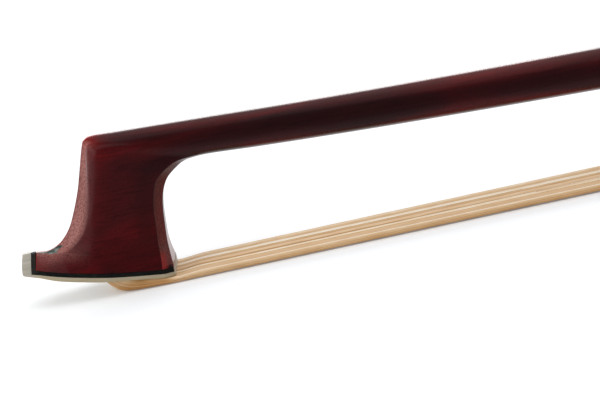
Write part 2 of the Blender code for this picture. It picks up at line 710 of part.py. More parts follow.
def ferrule_outline(inset, low):
    """Whole outline of the ferrule, inset by a distance and flat below at a height low."""
    half, crown = ferrule_half(inset, low)
    if low > FERRULE_SIDE:
        top = FERRULE_HEIGHT - inset
        rise = (low - FERRULE_SIDE) / (top - FERRULE_SIDE)
        half[0] = ((FERRULE_WIDTH / 2 - inset) * math.sqrt(1 - rise ** 2), low)
    return half + [crown] + [(-y, z) for y, z in half[::-1]]


def make_frog_body(frog, handle, sides):
    """The frog: a block with a round throat, a tongue for the ferrule and all its mortises."""
    top_drop = FROG_EDGE_DROP / math.cos(HANDLE_TILT)
    front = FERRULE_LENGTH + 0.1
    back = FROG_LENGTH - HEEL_THICK - FIT

    def edge_height(x):
        return axis_height(MOUTH + x) - top_drop

    centre = (front - 0.4, FERRULE_HEIGHT + THROAT_RADIUS)
    arc = [(centre[0] + THROAT_RADIUS * math.cos(a), centre[1] + THROAT_RADIUS * math.sin(a))
           for a in np.radians(np.linspace(-85.0, 75.0, 11))]
    lip = front + 0.8
    profile = ([(front, 0.0), (front, arc[0][1])] + arc
               + [(lip, edge_height(lip)), (FROG_LENGTH - 1.0, edge_height(FROG_LENGTH - 1.0)),
                  (FROG_LENGTH - 0.05, HEEL_BACK + 0.8 + FIT), (FROG_LENGTH - 0.05, HEEL_BACK + FIT),
                  (back, HEEL_BACK + FIT), (back, HEEL_THICK + FIT),
                  (FROG_LENGTH - HEEL_LEG - FIT, HEEL_THICK + FIT),
                  (FROG_LENGTH - HEEL_LEG - FIT, 0.0)])
    body = add_object("frog_body", *prism(profile, -8.0, 8.0, "y"), "ebony", frog)
    combine(body, sides, "INTERSECT")

    tongue = ferrule_outline(FERRULE_WALL + 0.15, FLAT_HEIGHT)
    combine(body, add_object("add_tongue", *prism(tongue, 0.6, front + 2.0, "x"), None, frog),
            "UNION")

    channel = octagon_outline(CHANNEL, 12.0)
    start, end = FROG_START + 5.0, FROG_START + FROG_LENGTH + 6.0
    combine(body, add_object("cut_channel", *prism(channel, start, end, "x"), None, handle))

    slide_end = FROG_LENGTH - HEEL_LEG - FIT
    ceiling = SLIDE_TOP + 0.1
    low = SLIDE_WIDTH / 2 + 0.2 - SLIDE_FLARE / SLIDE_TOP
    high = SLIDE_WIDTH / 2 + 0.2 + SLIDE_FLARE * ceiling / SLIDE_TOP
    groove = [(-low, -1.0), (low, -1.0), (high, ceiling), (-high, ceiling)]
    combine(body, add_object("cut_slide_groove", *prism(groove, front - 2.0, slide_end + 0.02, "x"),
                             None, frog))
    hair = HAIR_FROG_WIDTH / 2 + 0.5
    lead = [(-hair, 0.5), (hair, 0.5), (hair, FLAT_HEIGHT), (-hair, FLAT_HEIGHT)]
    combine(body, add_object("cut_hair_lead", *prism(lead, front - 2.0, FROG_POCKET_START + 0.5,
                                                     "x"), None, frog))
    half = FROG_POCKET_WIDTH / 2
    pocket_end = FROG_POCKET_START + FROG_POCKET_LENGTH
    pocket = [(FROG_POCKET_START, 0.7), (pocket_end, 0.7), (pocket_end, FROG_POCKET_TOP),
              (FROG_POCKET_START, FROG_POCKET_TOP)]
    combine(body, add_object("cut_frog_mortise", *prism(pocket, -half, half, "y"), None, frog))

    shank = SHANK_DIAMETER / 2 + 0.15
    bottom = EYELET_BOTTOM - SHANK_LENGTH - RUNNING
    hole = turned([(bottom, 0.0), (bottom, shank), (0.0, shank), (0.0, 0.0)], 12,
                  (EYELET_AXIAL, 0.0, 0.0), "z")
    shank_hole = add_object("cut_shank_hole", *hole, None, handle)
    combine(body, shank_hole)
    for side, sign in (("left", 1.0), ("right", -1.0)):
        inner = eye_floor()
        recess = turned([(inner, 0.0), (inner, EYE_RING_DIAMETER / 2 + 0.1),
                         (8.0, EYE_RING_DIAMETER / 2 + 0.1), (8.0, 0.0)], 24,
                        (EYE_STATION, 0.0, EYE_HEIGHT), "y")
        points = recess[0] * (1.0, sign, 1.0)
        combine(body, add_object("cut_eye_" + side, points, recess[1], None, frog))
    return body, shank_hole


def eye_floor():
    """Distance from the middle plane to the floor of the eyes' recesses."""
    return FROG_TOP_WIDTH / 2 - EYE_DEPTH + 0.1


def make_eyes(frog):
    """On each side of the frog a pearl disc inside a metal ring."""
    floor = eye_floor() + FIT
    face = floor + EYE_DEPTH - 0.05
    outer = EYE_RING_DIAMETER / 2
    inner = outer - EYE_RING_WALL
    disc = EYE_DIAMETER / 2
    for side, sign in (("left", 1.0), ("right", -1.0)):
        centre = (EYE_STATION, 0.0, EYE_HEIGHT)
        ring = turned([(floor, inner), (face, inner), (face, outer), (floor, outer)], 24,
                      centre, "y", closed=True)
        add_object("eye_ring_" + side, ring[0] * (1.0, sign, 1.0), ring[1], "silver", frog)
        pearl = turned([(floor, 0.0), (floor, disc), (face - 0.15, disc), (face, disc - 0.2),
                        (face, 0.0)], 24, centre, "y")
        add_object("eye_pearl_" + side, pearl[0] * (1.0, sign, 1.0), pearl[1], "pearl", frog)


def make_channel_liner(handle, body, shank_hole):
    """Thin metal lining on the three flats where the frog slides, with its two screws."""
    inner, outer = LINER_INNER, LINER_OUTER
    outline = [(-outer, -outer * OCTAGON), (-outer * OCTAGON, -outer), (outer * OCTAGON, -outer),
               (outer, -outer * OCTAGON), (inner, -inner * OCTAGON), (inner * OCTAGON, -inner),
               (-inner * OCTAGON, -inner), (-inner, -inner * OCTAGON)]
    start = FROG_START + FERRULE_LENGTH + 1.4
    end = FROG_START + FROG_LENGTH - 1.2
    liner = add_object("frog_liner", *prism(outline, start, end, "x"), "silver", handle)
    combine(liner, shank_hole)
    low, high = -LINER_OUTER - PIN_LENGTH, -LINER_INNER - 0.08
    for name, station in zip(("front", "rear"), LINER_SCREW_STATIONS):
        centre = (FROG_START + station, 0.0, 0.0)
        radius = PIN_DIAMETER / 2
        pin = turned([(low, 0.0), (low, radius), (high, radius), (high, 0.0)], 12, centre, "z")
        add_object("liner_screw_" + name, *pin, "silver", handle)
        wide = radius + 0.1
        hole = turned([(low - 0.1, 0.0), (low - 0.1, wide), (0.0, wide), (0.0, 0.0)], 12,
                      centre, "z")
        tool = add_object("cut_liner_screw_" + name, *hole, None, handle)
        combine(liner, tool)
        combine(body, tool)


def make_eyelet(handle):
    """Brass eye with its shank in the frog and its bore round the screw."""
    half_x, half_y = EYELET_LENGTH / 2, EYELET_WIDTH / 2
    front, back = EYELET_AXIAL - half_x, EYELET_AXIAL + half_x
    corner = 1.4
    outline = [(-half_y, EYELET_BOTTOM), (half_y, EYELET_BOTTOM), (half_y, EYELET_TOP - corner),
               (half_y - corner, EYELET_TOP), (-half_y + corner, EYELET_TOP),
               (-half_y, EYELET_TOP - corner)]
    eyelet = add_object("eyelet", *prism(outline, front, back, "x"), "brass", handle)
    low = EYELET_BOTTOM - SHANK_LENGTH
    radius = SHANK_DIAMETER / 2
    high = EYELET_BOTTOM + 0.6
    shank = turned([(low, 0.0), (low, radius), (high, radius), (high, 0.0)], 12,
                   (EYELET_AXIAL, 0.0, 0.0), "z")
    combine(eyelet, add_object("add_shank", *shank, None, handle), "UNION")
    bore = turned([(front - 1.0, 0.0), (front - 1.0, BORE / 2), (back + 1.0, BORE / 2),
                   (back + 1.0, 0.0)], 14)
    combine(eyelet, add_object("cut_eyelet_bore", *bore, None, handle))


def make_ferrule(frog):
    """D-shaped ring on the tongue, and the wedge that spreads the hair in its mouth."""
    outer = ferrule_outline(0.0, 0.0)
    inner = ferrule_outline(FERRULE_WALL, FERRULE_WALL)
    ring = add_object("ferrule", *prism(outer, 0.0, FERRULE_LENGTH, "x"), "silver", frog)
    tool = prism(inner, -1.0, FERRULE_LENGTH + 1.0, "x")
    combine(ring, add_object("cut_ferrule", *tool, None, frog))
    hair_top = FERRULE_WALL + 0.25 + HAIR_PRESSED
    top = FLAT_HEIGHT - 0.1
    length = 7.5
    profile = [(0.35, hair_top + 0.2), (length, top - 0.3), (length, top), (0.35, top)]
    half = HAIR_FERRULE_WIDTH / 2 - 0.4
    add_object("ferrule_wedge", *prism(profile, -half, half, "y"), "maple", frog)


def make_slide(frog):
    """Pearl slide on its backing, in a dovetail groove behind the ferrule."""
    start = FERRULE_LENGTH + 0.15
    end = FROG_LENGTH - HEEL_LEG - FIT - 0.1
    layers = (("pearl_slide", "pearl", PEARL_RECESS, PEARL_RECESS + PEARL_THICK),
              ("slide_backing", "ebony", PEARL_RECESS + PEARL_THICK + FIT, SLIDE_TOP))
    for name, kind, low, high in layers:
        narrow = SLIDE_WIDTH / 2 + SLIDE_FLARE * low / SLIDE_TOP
        wide = SLIDE_WIDTH / 2 + SLIDE_FLARE * high / SLIDE_TOP
        outline = [(-narrow, low), (narrow, low), (wide, high), (-wide, high)]
        add_object(name, *prism(outline, start, end, "x"), kind, frog)


def make_heel(frog, sides, body):
    """L-shaped plate at the heel, under and behind the frog, with its two pins."""
    inner = FROG_LENGTH - HEEL_THICK
    profile = [(FROG_LENGTH - HEEL_LEG, 0.0), (FROG_LENGTH, 0.0), (FROG_LENGTH, HEEL_BACK),
               (inner, HEEL_BACK), (inner, HEEL_THICK), (FROG_LENGTH - HEEL_LEG, HEEL_THICK)]
    plate = add_object("heel_plate", *prism(profile, -8.0, 8.0, "y"), "silver", frog)
    combine(plate, sides, "INTERSECT")
    radius = PIN_DIAMETER / 2
    low, high = FROG_LENGTH - PIN_LENGTH, FROG_LENGTH - 0.02
    for name, height in zip(("low", "high"), HEEL_PIN_HEIGHTS):
        centre = (0.0, 0.0, height)
        pin = turned([(low, 0.0), (low, radius), (high, radius), (high, 0.0)], 12, centre)
        add_object("heel_pin_" + name, *pin, "silver", frog)
        wide = radius + 0.1
        hole = turned([(low - 0.1, 0.0), (low - 0.1, wide), (high + 1.0, wide),
                       (high + 1.0, 0.0)], 12, centre)
        tool = add_object("cut_heel_pin_" + name, *hole, None, frog)
        combine(plate, tool)
        combine(body, tool)


def make_frog_hair(frog):
    """Bound end of the hank in the frog's mortise, and the plug that holds it."""
    start = FROG_POCKET_START
    end = start + FROG_POCKET_LENGTH
    plug_front = start + HAIR_PRESSED + 3 * RUNNING
    plug_half = FROG_POCKET_WIDTH / 2 - 0.2
    low, high = SLIDE_TOP + 0.1, 4.3
    outline = [(plug_front, low), (end - 0.2, low), (end - 0.2, high), (plug_front, high)]
    add_object("frog_plug", *prism(outline, -plug_half, plug_half, "y"), "maple", frog)
    knot = (FROG_POCKET_TOP - high) / 2 - 0.3
    middle = high + 0.3 + knot
    line = start + RUNNING + HAIR_PRESSED / 2
    thin = HAIR_PRESSED / 2 - 0.02
    path = [(line, SLIDE_TOP + 0.25), (line, middle - 1.6), (line + 0.1, middle - 0.8),
            (line + 0.9, middle), (line + 2.0, middle), (line + 3.0, middle), (end - 1.0, middle),
            (end - 0.5, middle)]
    heights = [thin, thin, thin, 0.6 * knot, 0.9 * knot, knot, knot, 0.6 * knot]
    half = HAIR_FROG_WIDTH / 2 - 0.2
    widths = [half, half, half, half, 0.9 * half, 0.85 * half, 0.8 * half, 0.6 * half]
    add_object("frog_hair_knot", *strip(path, widths, heights), "hair", frog)


def make_screw(handle):
    """Steel screw: plain shank, thread through the eyelet's travel, tang in the button."""
    root = SCREW_DIAMETER / 2 - THREAD_DEPTH
    tip = HANDLE_LENGTH - SCREW_REACH
    thread_end = EYELET_AXIAL + EYELET_LENGTH / 2 + TRAVEL_TIGHT + 2 * PITCH
    thread_start = thread_end - THREAD_TURNS * PITCH
    sides = 10
    angles = np.arange(sides) * 2 * math.pi / sides
    rows = [(tip, np.full(sides, 0.5 * root)), (tip + 1.0, np.full(sides, root)),
            (thread_start - PITCH, np.full(sides, root))]
    for step in range(4 * THREAD_TURNS + 1):
        along = thread_start + step * PITCH / 4
        phase = (step / 4 - angles / (2 * math.pi)) % 1.0
        rows.append((along, root + THREAD_DEPTH * (1 - np.abs(2 * phase - 1))))
    shank = SCREW_DIAMETER / 2 - 0.1
    tang = HANDLE_LENGTH + RUNNING + TANG_LENGTH
    rows += [(thread_end + PITCH, np.full(sides, root)),
             (thread_end + 2 * PITCH, np.full(sides, shank)), (tang, np.full(sides, shank))]
    points = []
    for along, radius in rows:
        points.extend(zip(np.full(sides, along), radius * np.sin(angles), radius * np.cos(angles)))
    faces = [tuple(range(sides)), tuple(range((len(rows) - 1) * sides, len(rows) * sides))]
    for i in range(len(rows) - 1):
        for j in range(sides):
            k = (j + 1) % sides
            faces.append((i * sides + j, i * sides + k, (i + 1) * sides + k, (i + 1) * sides + j))
    add_object("screw", np.array(points), faces, "steel", handle)


def make_button(handle):
    """Button of the screw: core between a front band and a rear cap, pearl at the end."""
    start = HANDLE_LENGTH + RUNNING
    end = start + BUTTON_LENGTH
    band_outer = BUTTON_DIAMETER / 2
    band_inner = band_outer - BUTTON_BAND_WALL
    core = band_inner - FIT
    waist = BUTTON_WAIST / 2
    front = start + BUTTON_BAND
    rear = end - BUTTON_BAND
    recess = NIPPLE_DIAMETER / 2 + RUNNING
    recess_end = HANDLE_LENGTH + NIPPLE_LENGTH + RUNNING
    bore = SCREW_DIAMETER / 2 - 0.1 + FIT
    bore_end = start + TANG_LENGTH + 0.2
    cap_floor = end - 1.3
    profile = [(recess_end, bore), (recess_end, recess), (start, recess), (start, core),
               (front + FIT, core), (front + FIT, band_outer), ((front + rear) / 2, waist),
               (rear - FIT, band_outer), (rear - FIT, core), (cap_floor - FIT, core),
               (cap_floor - FIT, 0.0), (bore_end, 0.0), (bore_end, bore)]
    points, faces = turned(profile[:11], 16)
    inner_points, inner_faces = turned([profile[11], profile[12], profile[0]], 16)
    join = len(points)
    first_row = list(range(16))
    last_row = list(range(join + len(inner_points) - 16, join + len(inner_points)))
    faces += [tuple(i + join for i in face) for face in inner_faces]
    for j in range(16):
        k = (j + 1) % 16
        faces.append((first_row[j], first_row[k], last_row[k], last_row[j]))
    add_object("button_core", np.vstack([points, inner_points]), faces, "ebony", handle)

    ring = turned([(start, band_inner), (start, band_outer - 0.2), (start + 0.4, band_outer),
                   (front - 0.3, band_outer), (front, band_outer - 0.15), (front, band_inner)],
                  24, closed=True)
    add_object("button_front_ring", *ring, "silver", handle)
    eye = BUTTON_PEARL / 2
    cap = turned([(cap_floor, 0.0), (cap_floor, band_inner), (rear, band_inner),
                  (rear, band_outer - 0.15), (rear + 0.3, band_outer), (end - 0.5, band_outer),
                  (end, band_outer - 0.5), (end, eye + 0.1), (end - 0.9, eye + 0.1),
                  (end - 0.9, 0.0)], 24)
    add_object("button_rear_cap", *cap, "silver", handle)
    pearl = turned([(end - 0.9 + FIT, 0.0), (end - 0.9 + FIT, eye), (end - 0.2, eye),
                    (end - 0.05, eye - 0.3), (end - 0.05, 0.0)], 24)
    add_object("button_pearl", *pearl, "pearl", handle)


def main():
    """Builds the whole bow."""
    clear_scene()
    bow = add_empty("bow", None, (-LENGTH / 2, 0.0, 0.0))
    handle = add_empty("handle", bow, (HANDLE_START, 0.0, HANDLE_HEIGHT), -HANDLE_TILT)
    frog = add_empty("frog", bow, (MOUTH, 0.0, 0.0))
    stick = make_stick(bow, handle)
    mortise = pocket_tool(bow)
    combine(stick, mortise)
    make_head_sheets(bow, mortise)
    plug_front, plug_top = make_tip_plug(bow)
    line = make_tip_knot(bow, plug_front, plug_top)
    make_hair(bow, line)
    make_grip(handle)
    sides = frog_side_tool(frog)
    body, shank_hole = make_frog_body(frog, handle, sides)
    make_channel_liner(handle, body, shank_hole)
    make_eyes(frog)
    make_eyelet(handle)
    make_ferrule(frog)
    make_slide(frog)
    make_heel(frog, sides, body)
    make_frog_hair(frog)
    make_screw(handle)
    make_button(handle)


main()
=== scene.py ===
"""Looks of a violin bow on a white table, seen at its head.

Lengths are in millimetres. A station runs along the bow from the tip of the beak, y goes across
it and z is the height above the table. Each surface is a grid of points worked out with numpy.
"""
import json
import math

import bmesh
import bpy
import numpy as np
from mathutils import Matrix


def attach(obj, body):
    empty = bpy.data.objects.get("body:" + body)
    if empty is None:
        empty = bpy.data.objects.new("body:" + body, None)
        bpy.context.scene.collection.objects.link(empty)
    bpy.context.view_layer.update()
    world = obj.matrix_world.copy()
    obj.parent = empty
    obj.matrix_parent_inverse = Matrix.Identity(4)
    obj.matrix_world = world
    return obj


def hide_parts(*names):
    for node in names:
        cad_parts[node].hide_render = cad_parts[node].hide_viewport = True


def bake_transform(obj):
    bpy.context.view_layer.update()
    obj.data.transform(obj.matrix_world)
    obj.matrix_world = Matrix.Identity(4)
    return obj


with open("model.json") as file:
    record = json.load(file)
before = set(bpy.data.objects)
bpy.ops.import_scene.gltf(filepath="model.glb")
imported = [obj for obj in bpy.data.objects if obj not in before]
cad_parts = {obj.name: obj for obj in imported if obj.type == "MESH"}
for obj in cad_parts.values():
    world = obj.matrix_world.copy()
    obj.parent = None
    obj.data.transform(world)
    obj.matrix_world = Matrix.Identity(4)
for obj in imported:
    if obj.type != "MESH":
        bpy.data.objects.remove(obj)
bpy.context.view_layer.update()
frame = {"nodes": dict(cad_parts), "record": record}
MM = 0.001

# Sizes of the solids in millimetres, repeated from the part's source
LENGTH = 745.0
FIT = 0.05
HEAD_DIAMETER, HANDLE_DIAMETER, TAPER_POWER = 5.8, 8.6, 2.2
CAMBER_START, CAMBER_START_HEIGHT, CAMBER_START_SLOPE = 23.0, 22.1, -0.086
CAMBER_REACH = (0.17, 0.20)
HANDLE_HEIGHT, HANDLE_TILT, HANDLE_LENGTH = 17.2, math.radians(2.6), 165.0
FLATS_FULL, FLATS_FADE = 112.0, 12.0
NIPPLE_DIAMETER, NIPPLE_LENGTH = 5.6, 1.6
HEEL_STATION, HEEL_HEIGHT, HEEL_RISE, PLATE_RADIUS = 23.2, 2.45, 0.1252, 161.0
LINER_THICK, PLATE_THICK, LINER_FRONT, PLATE_FRONT = 0.65, 0.6, 0.75, 1.4
BEAK_FRONT, BEAK_LEAN, BEAK_TOP, SHEET_RISE = 2.0, 0.16, 8.45, 0.15
TIP_POCKET_START, TIP_POCKET_LENGTH, TIP_POCKET_WIDTH = 13.4, 6.5, 6.8
HAIR_THICK, HAIR_PRESSED, HAIR_UNDER_PLATE, HAIR_LIFT = 1.15, 0.95, 0.95, 0.16
HAIR_HEEL_WIDTH, HAIR_FERRULE_WIDTH, HAIR_FROG_WIDTH, HAIR_FAN = 8.8, 10.8, 6.6, 1.25
FROG_LENGTH, FROG_SETBACK = 47.0, 12.6
FERRULE_LENGTH, FERRULE_WALL, FERRULE_WIDTH = 13.0, 0.6, 13.0
FERRULE_HEIGHT, FERRULE_SIDE = 7.0, 1.2
FROG_TOP_WIDTH, EYE_STATION, EYE_HEIGHT, EYE_DEPTH = 10.8, 27.0, 10.6, 1.1
EYE_RING_DIAMETER, EYE_RING_WALL, EYE_DIAMETER = 8.0, 0.55, 6.3
BUTTON_BAND_WALL, TANG_LENGTH, SCREW_DIAMETER = 0.7, 9.0, 2.8
BUTTON_LENGTH, BUTTON_DIAMETER, BUTTON_BAND, BUTTON_WAIST, BUTTON_PEARL = 14.4, 8.8, 4.2, 8.0, 5.0
LEATHER_LENGTH, LEATHER_TO_FROG, LAPPING_LENGTH, GRIP_GAP = 29.0, 8.0, 66.0, 0.3
PEARL_RECESS, PEARL_THICK, BACKING_THICK, RUNNING = 0.15, 0.95, 0.55, 0.3
HANDLE_START = LENGTH - (HANDLE_LENGTH + RUNNING + BUTTON_LENGTH) * math.cos(HANDLE_TILT)
FROG_START = HANDLE_LENGTH - FROG_SETBACK - FROG_LENGTH
MOUTH = HANDLE_START + FROG_START * math.cos(HANDLE_TILT)
SLIDE_TOP = PEARL_RECESS + PEARL_THICK + FIT + BACKING_THICK


def underside(station):
    """Height of the wood's underside at the head: a slope with a long bend."""
    back = HEEL_STATION - np.asarray(station, dtype=float)
    return HEEL_HEIGHT + HEEL_RISE * back + back ** 2 / (2 * PLATE_RADIUS)


def leaning(height, front=BEAK_FRONT, offset=0.0):
    """Station at a height on a side of the beak that starts at a front station, offset below."""
    return front + BEAK_LEAN * (height - float(underside(front)) + offset)


# Sections of the head from plate to nose: front point, rear point, half-width of the ridge, the
# front facet's edge (depth, half-width), the cheek's front edge, its rear edge, the rear flat.
HEAD_SECTIONS = np.array([
    (BEAK_FRONT, underside(BEAK_FRONT), HEEL_STATION, HEEL_HEIGHT,
     3.10, 5.0, 4.20, 11.0, 4.72, 1.80, 4.40, 3.40),
    (leaning(7.45), 7.45, 23.10, 4.00, 1.90, 4.4, 3.00, 10.0, 4.20, 1.50, 4.00, 2.50),
    (leaning(BEAK_TOP), BEAK_TOP, 23.05, 5.30, 0.30, 4.0, 1.70, 9.3, 3.65, 1.40, 3.75, 2.00),
    (4.40, 8.34, 23.05, 6.20, 0.30, 3.2, 1.70, 7.4, 3.45, 1.35, 3.60, 1.75),
    (6.46, 9.20, 23.13, 7.40, 0.30, 2.6, 1.80, 5.6, 3.25, 1.35, 3.45, 1.60),
    (8.20, 10.98, 23.32, 9.20, 0.30, 2.5, 2.15, 4.1, 3.10, 1.35, 3.20, 1.40),
    (9.50, 13.30, 23.62, 11.60, 0.30, 2.4, 2.40, 3.2, 3.00, 1.40, 3.00, 1.25),
    (11.05, 16.80, 24.22, 14.00, 0.30, 1.9, 2.15, 2.9, 2.88, 1.50, 2.88, 1.20),
    (12.25, 20.30, 25.42, 16.20, 0.30, 1.45, 1.80, 2.6, 2.80, 1.70, 2.80, 1.20),
    (13.35, 23.60, 27.55, 17.82, 0.35, 1.1, 1.50, 2.3, 2.75, 1.60, 2.75, 1.15),
])
NOSE = np.array([
    # front point, rear point, share of roundness
    (14.00, 24.80, 28.90, 18.35, 0.25),
    (15.40, 25.22, 30.30, 18.45, 0.55),
    (19.50, 24.98, 31.60, 18.45, 0.80),
    (26.50, 24.62, 33.50, 18.36, 0.95),
])
FACET_HOLLOW = 0.16
HEAD_STEPS = 12             # rings between two sections of the head
SHAFT_RINGS = 260
SHAFT_FROM = 38.0           # station behind which the stick is a plain shaft
EVEN_FROM, EVEN_TO = 45.0, 160.0    # stations between which a ring's points spread evenly
RING_CROWDING = 1.15        # power that draws the shaft's rings towards the head
NEAR_AXIS = 0.02            # radius at which a turned profile stops short of its axis
KINKED = [0, 1, 4, 6]       # columns that have a kink at the beak's top
HANDLE_CORNER = 1.066       # farthest point of the handle's eased corners, in its apothems
HANDLE_CHAMFER = 0.35
# Cut and points of the turns at the ridge, facet's edge, cheek's front edge and rear edge, flat
EDGE_TURNS = ((0.22, 5), (0.28, 7), (1.0, 6), (0.14, 7), (0.14, 5))


# Materials

def srgb(code):
    """An sRGB hex value as linear colour with full alpha."""
    parts = [int(code[i:i + 2], 16) / 255 for i in (0, 2, 4)]
    return (*(c / 12.92 if c < 0.04045 else ((c + 0.055) / 1.055) ** 2.4 for c in parts), 1.0)


def connect(tree, node, links):
    """Gives input sockets of a node, by name or number, a value or a link from another socket."""
    for key, value in links.items():
        if isinstance(value, bpy.types.NodeSocket):
            tree.links.new(value, node.inputs[key])
        else:
            node.inputs[key].default_value = value


def add(tree, kind, links=None, stops=None, **settings):
    """Adds a node with its settings, its inputs by connect and, for a ramp, its stops."""
    node = tree.nodes.new("ShaderNode" + kind)
    for key, value in settings.items():
        setattr(node, key, value)
    if stops:
        elements = node.color_ramp.elements
        while len(elements) < len(stops):
            elements.new(0.5)
        for element, (place, colour) in zip(elements, stops):
            element.position = place
            element.color = srgb(colour) if isinstance(colour, str) else (colour,) * 3 + (1.0,)
    connect(tree, node, links or {})
    return node


def new_material(name, **sockets):
    """A material with one Principled shader; its constant sockets are set by name."""
    material = bpy.data.materials.new(name)
    material.use_nodes = True
    tree = material.node_tree
    shader = tree.nodes["Principled BSDF"]
    connect(tree, shader, {key.replace("_", " "): value for key, value in sockets.items()})
    return material, tree, shader


def stretched(tree, scale):
    """Object coordinates scaled to cells per metre along x, y and z."""
    place = add(tree, "TexCoord").outputs["Object"]
    return add(tree, "Mapping", {"Vector": place, "Scale": scale}).outputs["Vector"]


def mark_on(tree, name):
    """The value of a named mark of the mesh's points."""
    return add(tree, "Attribute", attribute_name=name).outputs["Fac"]


def over(tree, below, share, colour, mode="MIX"):
    """The colour below with another over it by a share."""
    return add(tree, "Mix", {0: share, 6: below, 7: colour}, data_type="RGBA",
               blend_type=mode).outputs[2]


def roughened(tree, shader, height, strength, distance):
    """Gives a shader the fine relief of a height, with its depth in metres."""
    bump = add(tree, "Bump", {"Strength": strength, "Distance": distance, "Height": height})
    connect(tree, shader, {"Normal": bump.outputs["Normal"]})


def seen_straight(tree):
    """1 for rays from the camera or through a gloss or a clear body, 0 for those that light."""
    rays = add(tree, "LightPath").outputs
    seen = add(tree, "Math", {0: rays["Is Camera Ray"], 1: rays["Is Glossy Ray"]},
               operation="MAXIMUM")
    return add(tree, "Math", {0: seen.outputs[0], 1: rays["Is Transmission Ray"]},
               operation="MAXIMUM").outputs[0]


def polished_wood():
    """Red-brown bow wood, oiled and polished thin: dark pores along the grain, redder where rubbed
    and, as painted light, along the top of the shaft.

    The marks on the mesh say where the facets were scraped, with painted highlights and
    reflections on the beak, the chamfer and the rear flat; where edges wear, with painted light on
    the top of the shaft; where the black stain lies, whose pale tones are a painted highlight; and
    where painted shading darkens the wood. The coat has hardly any gloss but along the outline of
    the stick.
    """
    material, tree, shader = new_material(
        "polished_bow_wood", Specular_IOR_Level=0.0, Coat_Roughness=0.24, Coat_IOR=1.45)
    figure = add(tree, "TexNoise", {"Vector": stretched(tree, (25, 110, 80)), "Scale": 1.0,
                                    "Detail": 3.0, "Distortion": 0.6})
    pores = add(tree, "TexNoise", {"Vector": stretched(tree, (30, 420, 420)), "Scale": 6.0,
                                   "Detail": 4.0, "Roughness": 0.6})
    speckle = add(tree, "TexNoise", {"Vector": stretched(tree, (3000, 4200, 4200)), "Scale": 1.0,
                                     "Detail": 2.0})
    body = add(tree, "ValToRGB", {"Fac": figure.outputs["Fac"]}, stops=(
        (0.32, "2f0e11"), (0.45, "3f1013"), (0.56, "520f12"), (0.68, "3d1013")))
    dark = add(tree, "ValToRGB", {"Fac": pores.outputs["Fac"]}, stops=((0.36, 0.40), (0.50, 1.0)))
    dots = add(tree, "ValToRGB", {"Fac": speckle.outputs["Fac"]},
               stops=((0.34, 0.62), (0.52, 1.0), (0.70, 1.25)))

    def marked(name, noise, low, high, least):
        """A mark on the mesh, broken up by a noise between two of its values."""
        broken = add(tree, "MapRange", {"Value": noise.outputs["Fac"], 1: low, 2: high, 3: least,
                                        4: 1.0})
        return add(tree, "Math", {0: mark_on(tree, name), 1: broken.outputs[0]},
                   operation="MULTIPLY").outputs[0]

    toned = over(tree, body.outputs["Color"], 0.45, dark.outputs["Color"], "MULTIPLY")
    toned = over(tree, toned, 0.45, dots.outputs["Color"], "MULTIPLY")
    # Painted shading (near black); the scraped facets' pale mauve, with painted highlights and
    # reflections; the red of wear, with painted light on the shaft's top.
    for mark, noise, low, high, least, colour in (("painted_shade_and_chip", figure, 0.3, 0.6, 1.0, "160c0d"),
                                                  ("facet", speckle, 0.34, 0.62, 0.45, "ab716a"),
                                                  ("wear_and_painted_light", figure, 0.35, 0.60, 0.60, "9a211d")):
        toned = over(tree, toned, marked(mark, noise, low, high, least), srgb(colour))
    feather = add(tree, "TexNoise", {"Vector": stretched(tree, (900, 1300, 1700)), "Scale": 1.0,
                                     "Detail": 3.0})
    share = add(tree, "Math", {0: mark_on(tree, "ink_and_highlight"), 1: feather.outputs["Fac"]},
                operation="ADD")
    share = add(tree, "MapRange", {"Value": share.outputs[0], 1: 0.95, 2: 1.12})
    # The stain's pale grey-green tones are a painted highlight.
    film = add(tree, "ValToRGB", {"Fac": feather.outputs["Fac"]},
               stops=((0.40, "3c4340"), (0.55, "6e7571"), (0.70, "959c96")))
    toned = over(tree, toned, share.outputs[0], film.outputs["Color"])
    turned_away = add(tree, "LayerWeight", {"Blend": 0.5}).outputs["Facing"]
    gloss = add(tree, "ValToRGB", {"Fac": turned_away}, stops=(
        (0.0, 0.05), (0.06, 0.08), (0.12, 0.16), (0.25, 0.26), (0.45, 0.38), (0.64, 1.0)))
    rough = add(tree, "MapRange", {"Value": pores.outputs["Fac"], 1: 0.3, 2: 0.7, 3: 0.60, 4: 0.42})
    connect(tree, shader, {"Base Color": toned, "Coat Weight": gloss.outputs["Color"],
                           "Roughness": rough.outputs[0]})
    relief = add(tree, "Math", {0: pores.outputs["Fac"], 1: speckle.outputs["Fac"]},
                 operation="ADD")
    roughened(tree, shader, relief.outputs[0], 0.30, 0.00006)
    return material


def grained(name, scale, noise, stops, wear_and_painted_light=None, relief=None, **sockets):
    """A material whose tone follows a noise through colour stops. A colour may lie over it where
    the mesh is marked for wear or painted shading, and a relief (strength, depth in metres) may
    follow the noise."""
    material, tree, shader = new_material(name, **sockets)
    grain = add(tree, "TexNoise", {"Vector": stretched(tree, scale), **noise}).outputs["Fac"]
    tone = add(tree, "ValToRGB", {"Fac": grain}, stops=stops).outputs["Color"]
    if wear_and_painted_light:
        tone = over(tree, tone, mark_on(tree, "wear_and_painted_light"), srgb(wear_and_painted_light))
    connect(tree, shader, {"Base Color": tone})
    if relief:
        roughened(tree, shader, grain, *relief)
    return material


def ebony():
    """Ebony, sanded and oiled: near black with faint brown pores, which give it a soft gloss."""
    return grained("oiled_ebony", (60, 900, 900), {"Scale": 3.0, "Detail": 5.0, "Roughness": 0.65},
                   ((0.38, "0c0a0a"), (0.55, "151211"), (0.72, "241b17")),
                   relief=(0.2, 0.00005), Roughness=0.34, Specular_IOR_Level=0.30)


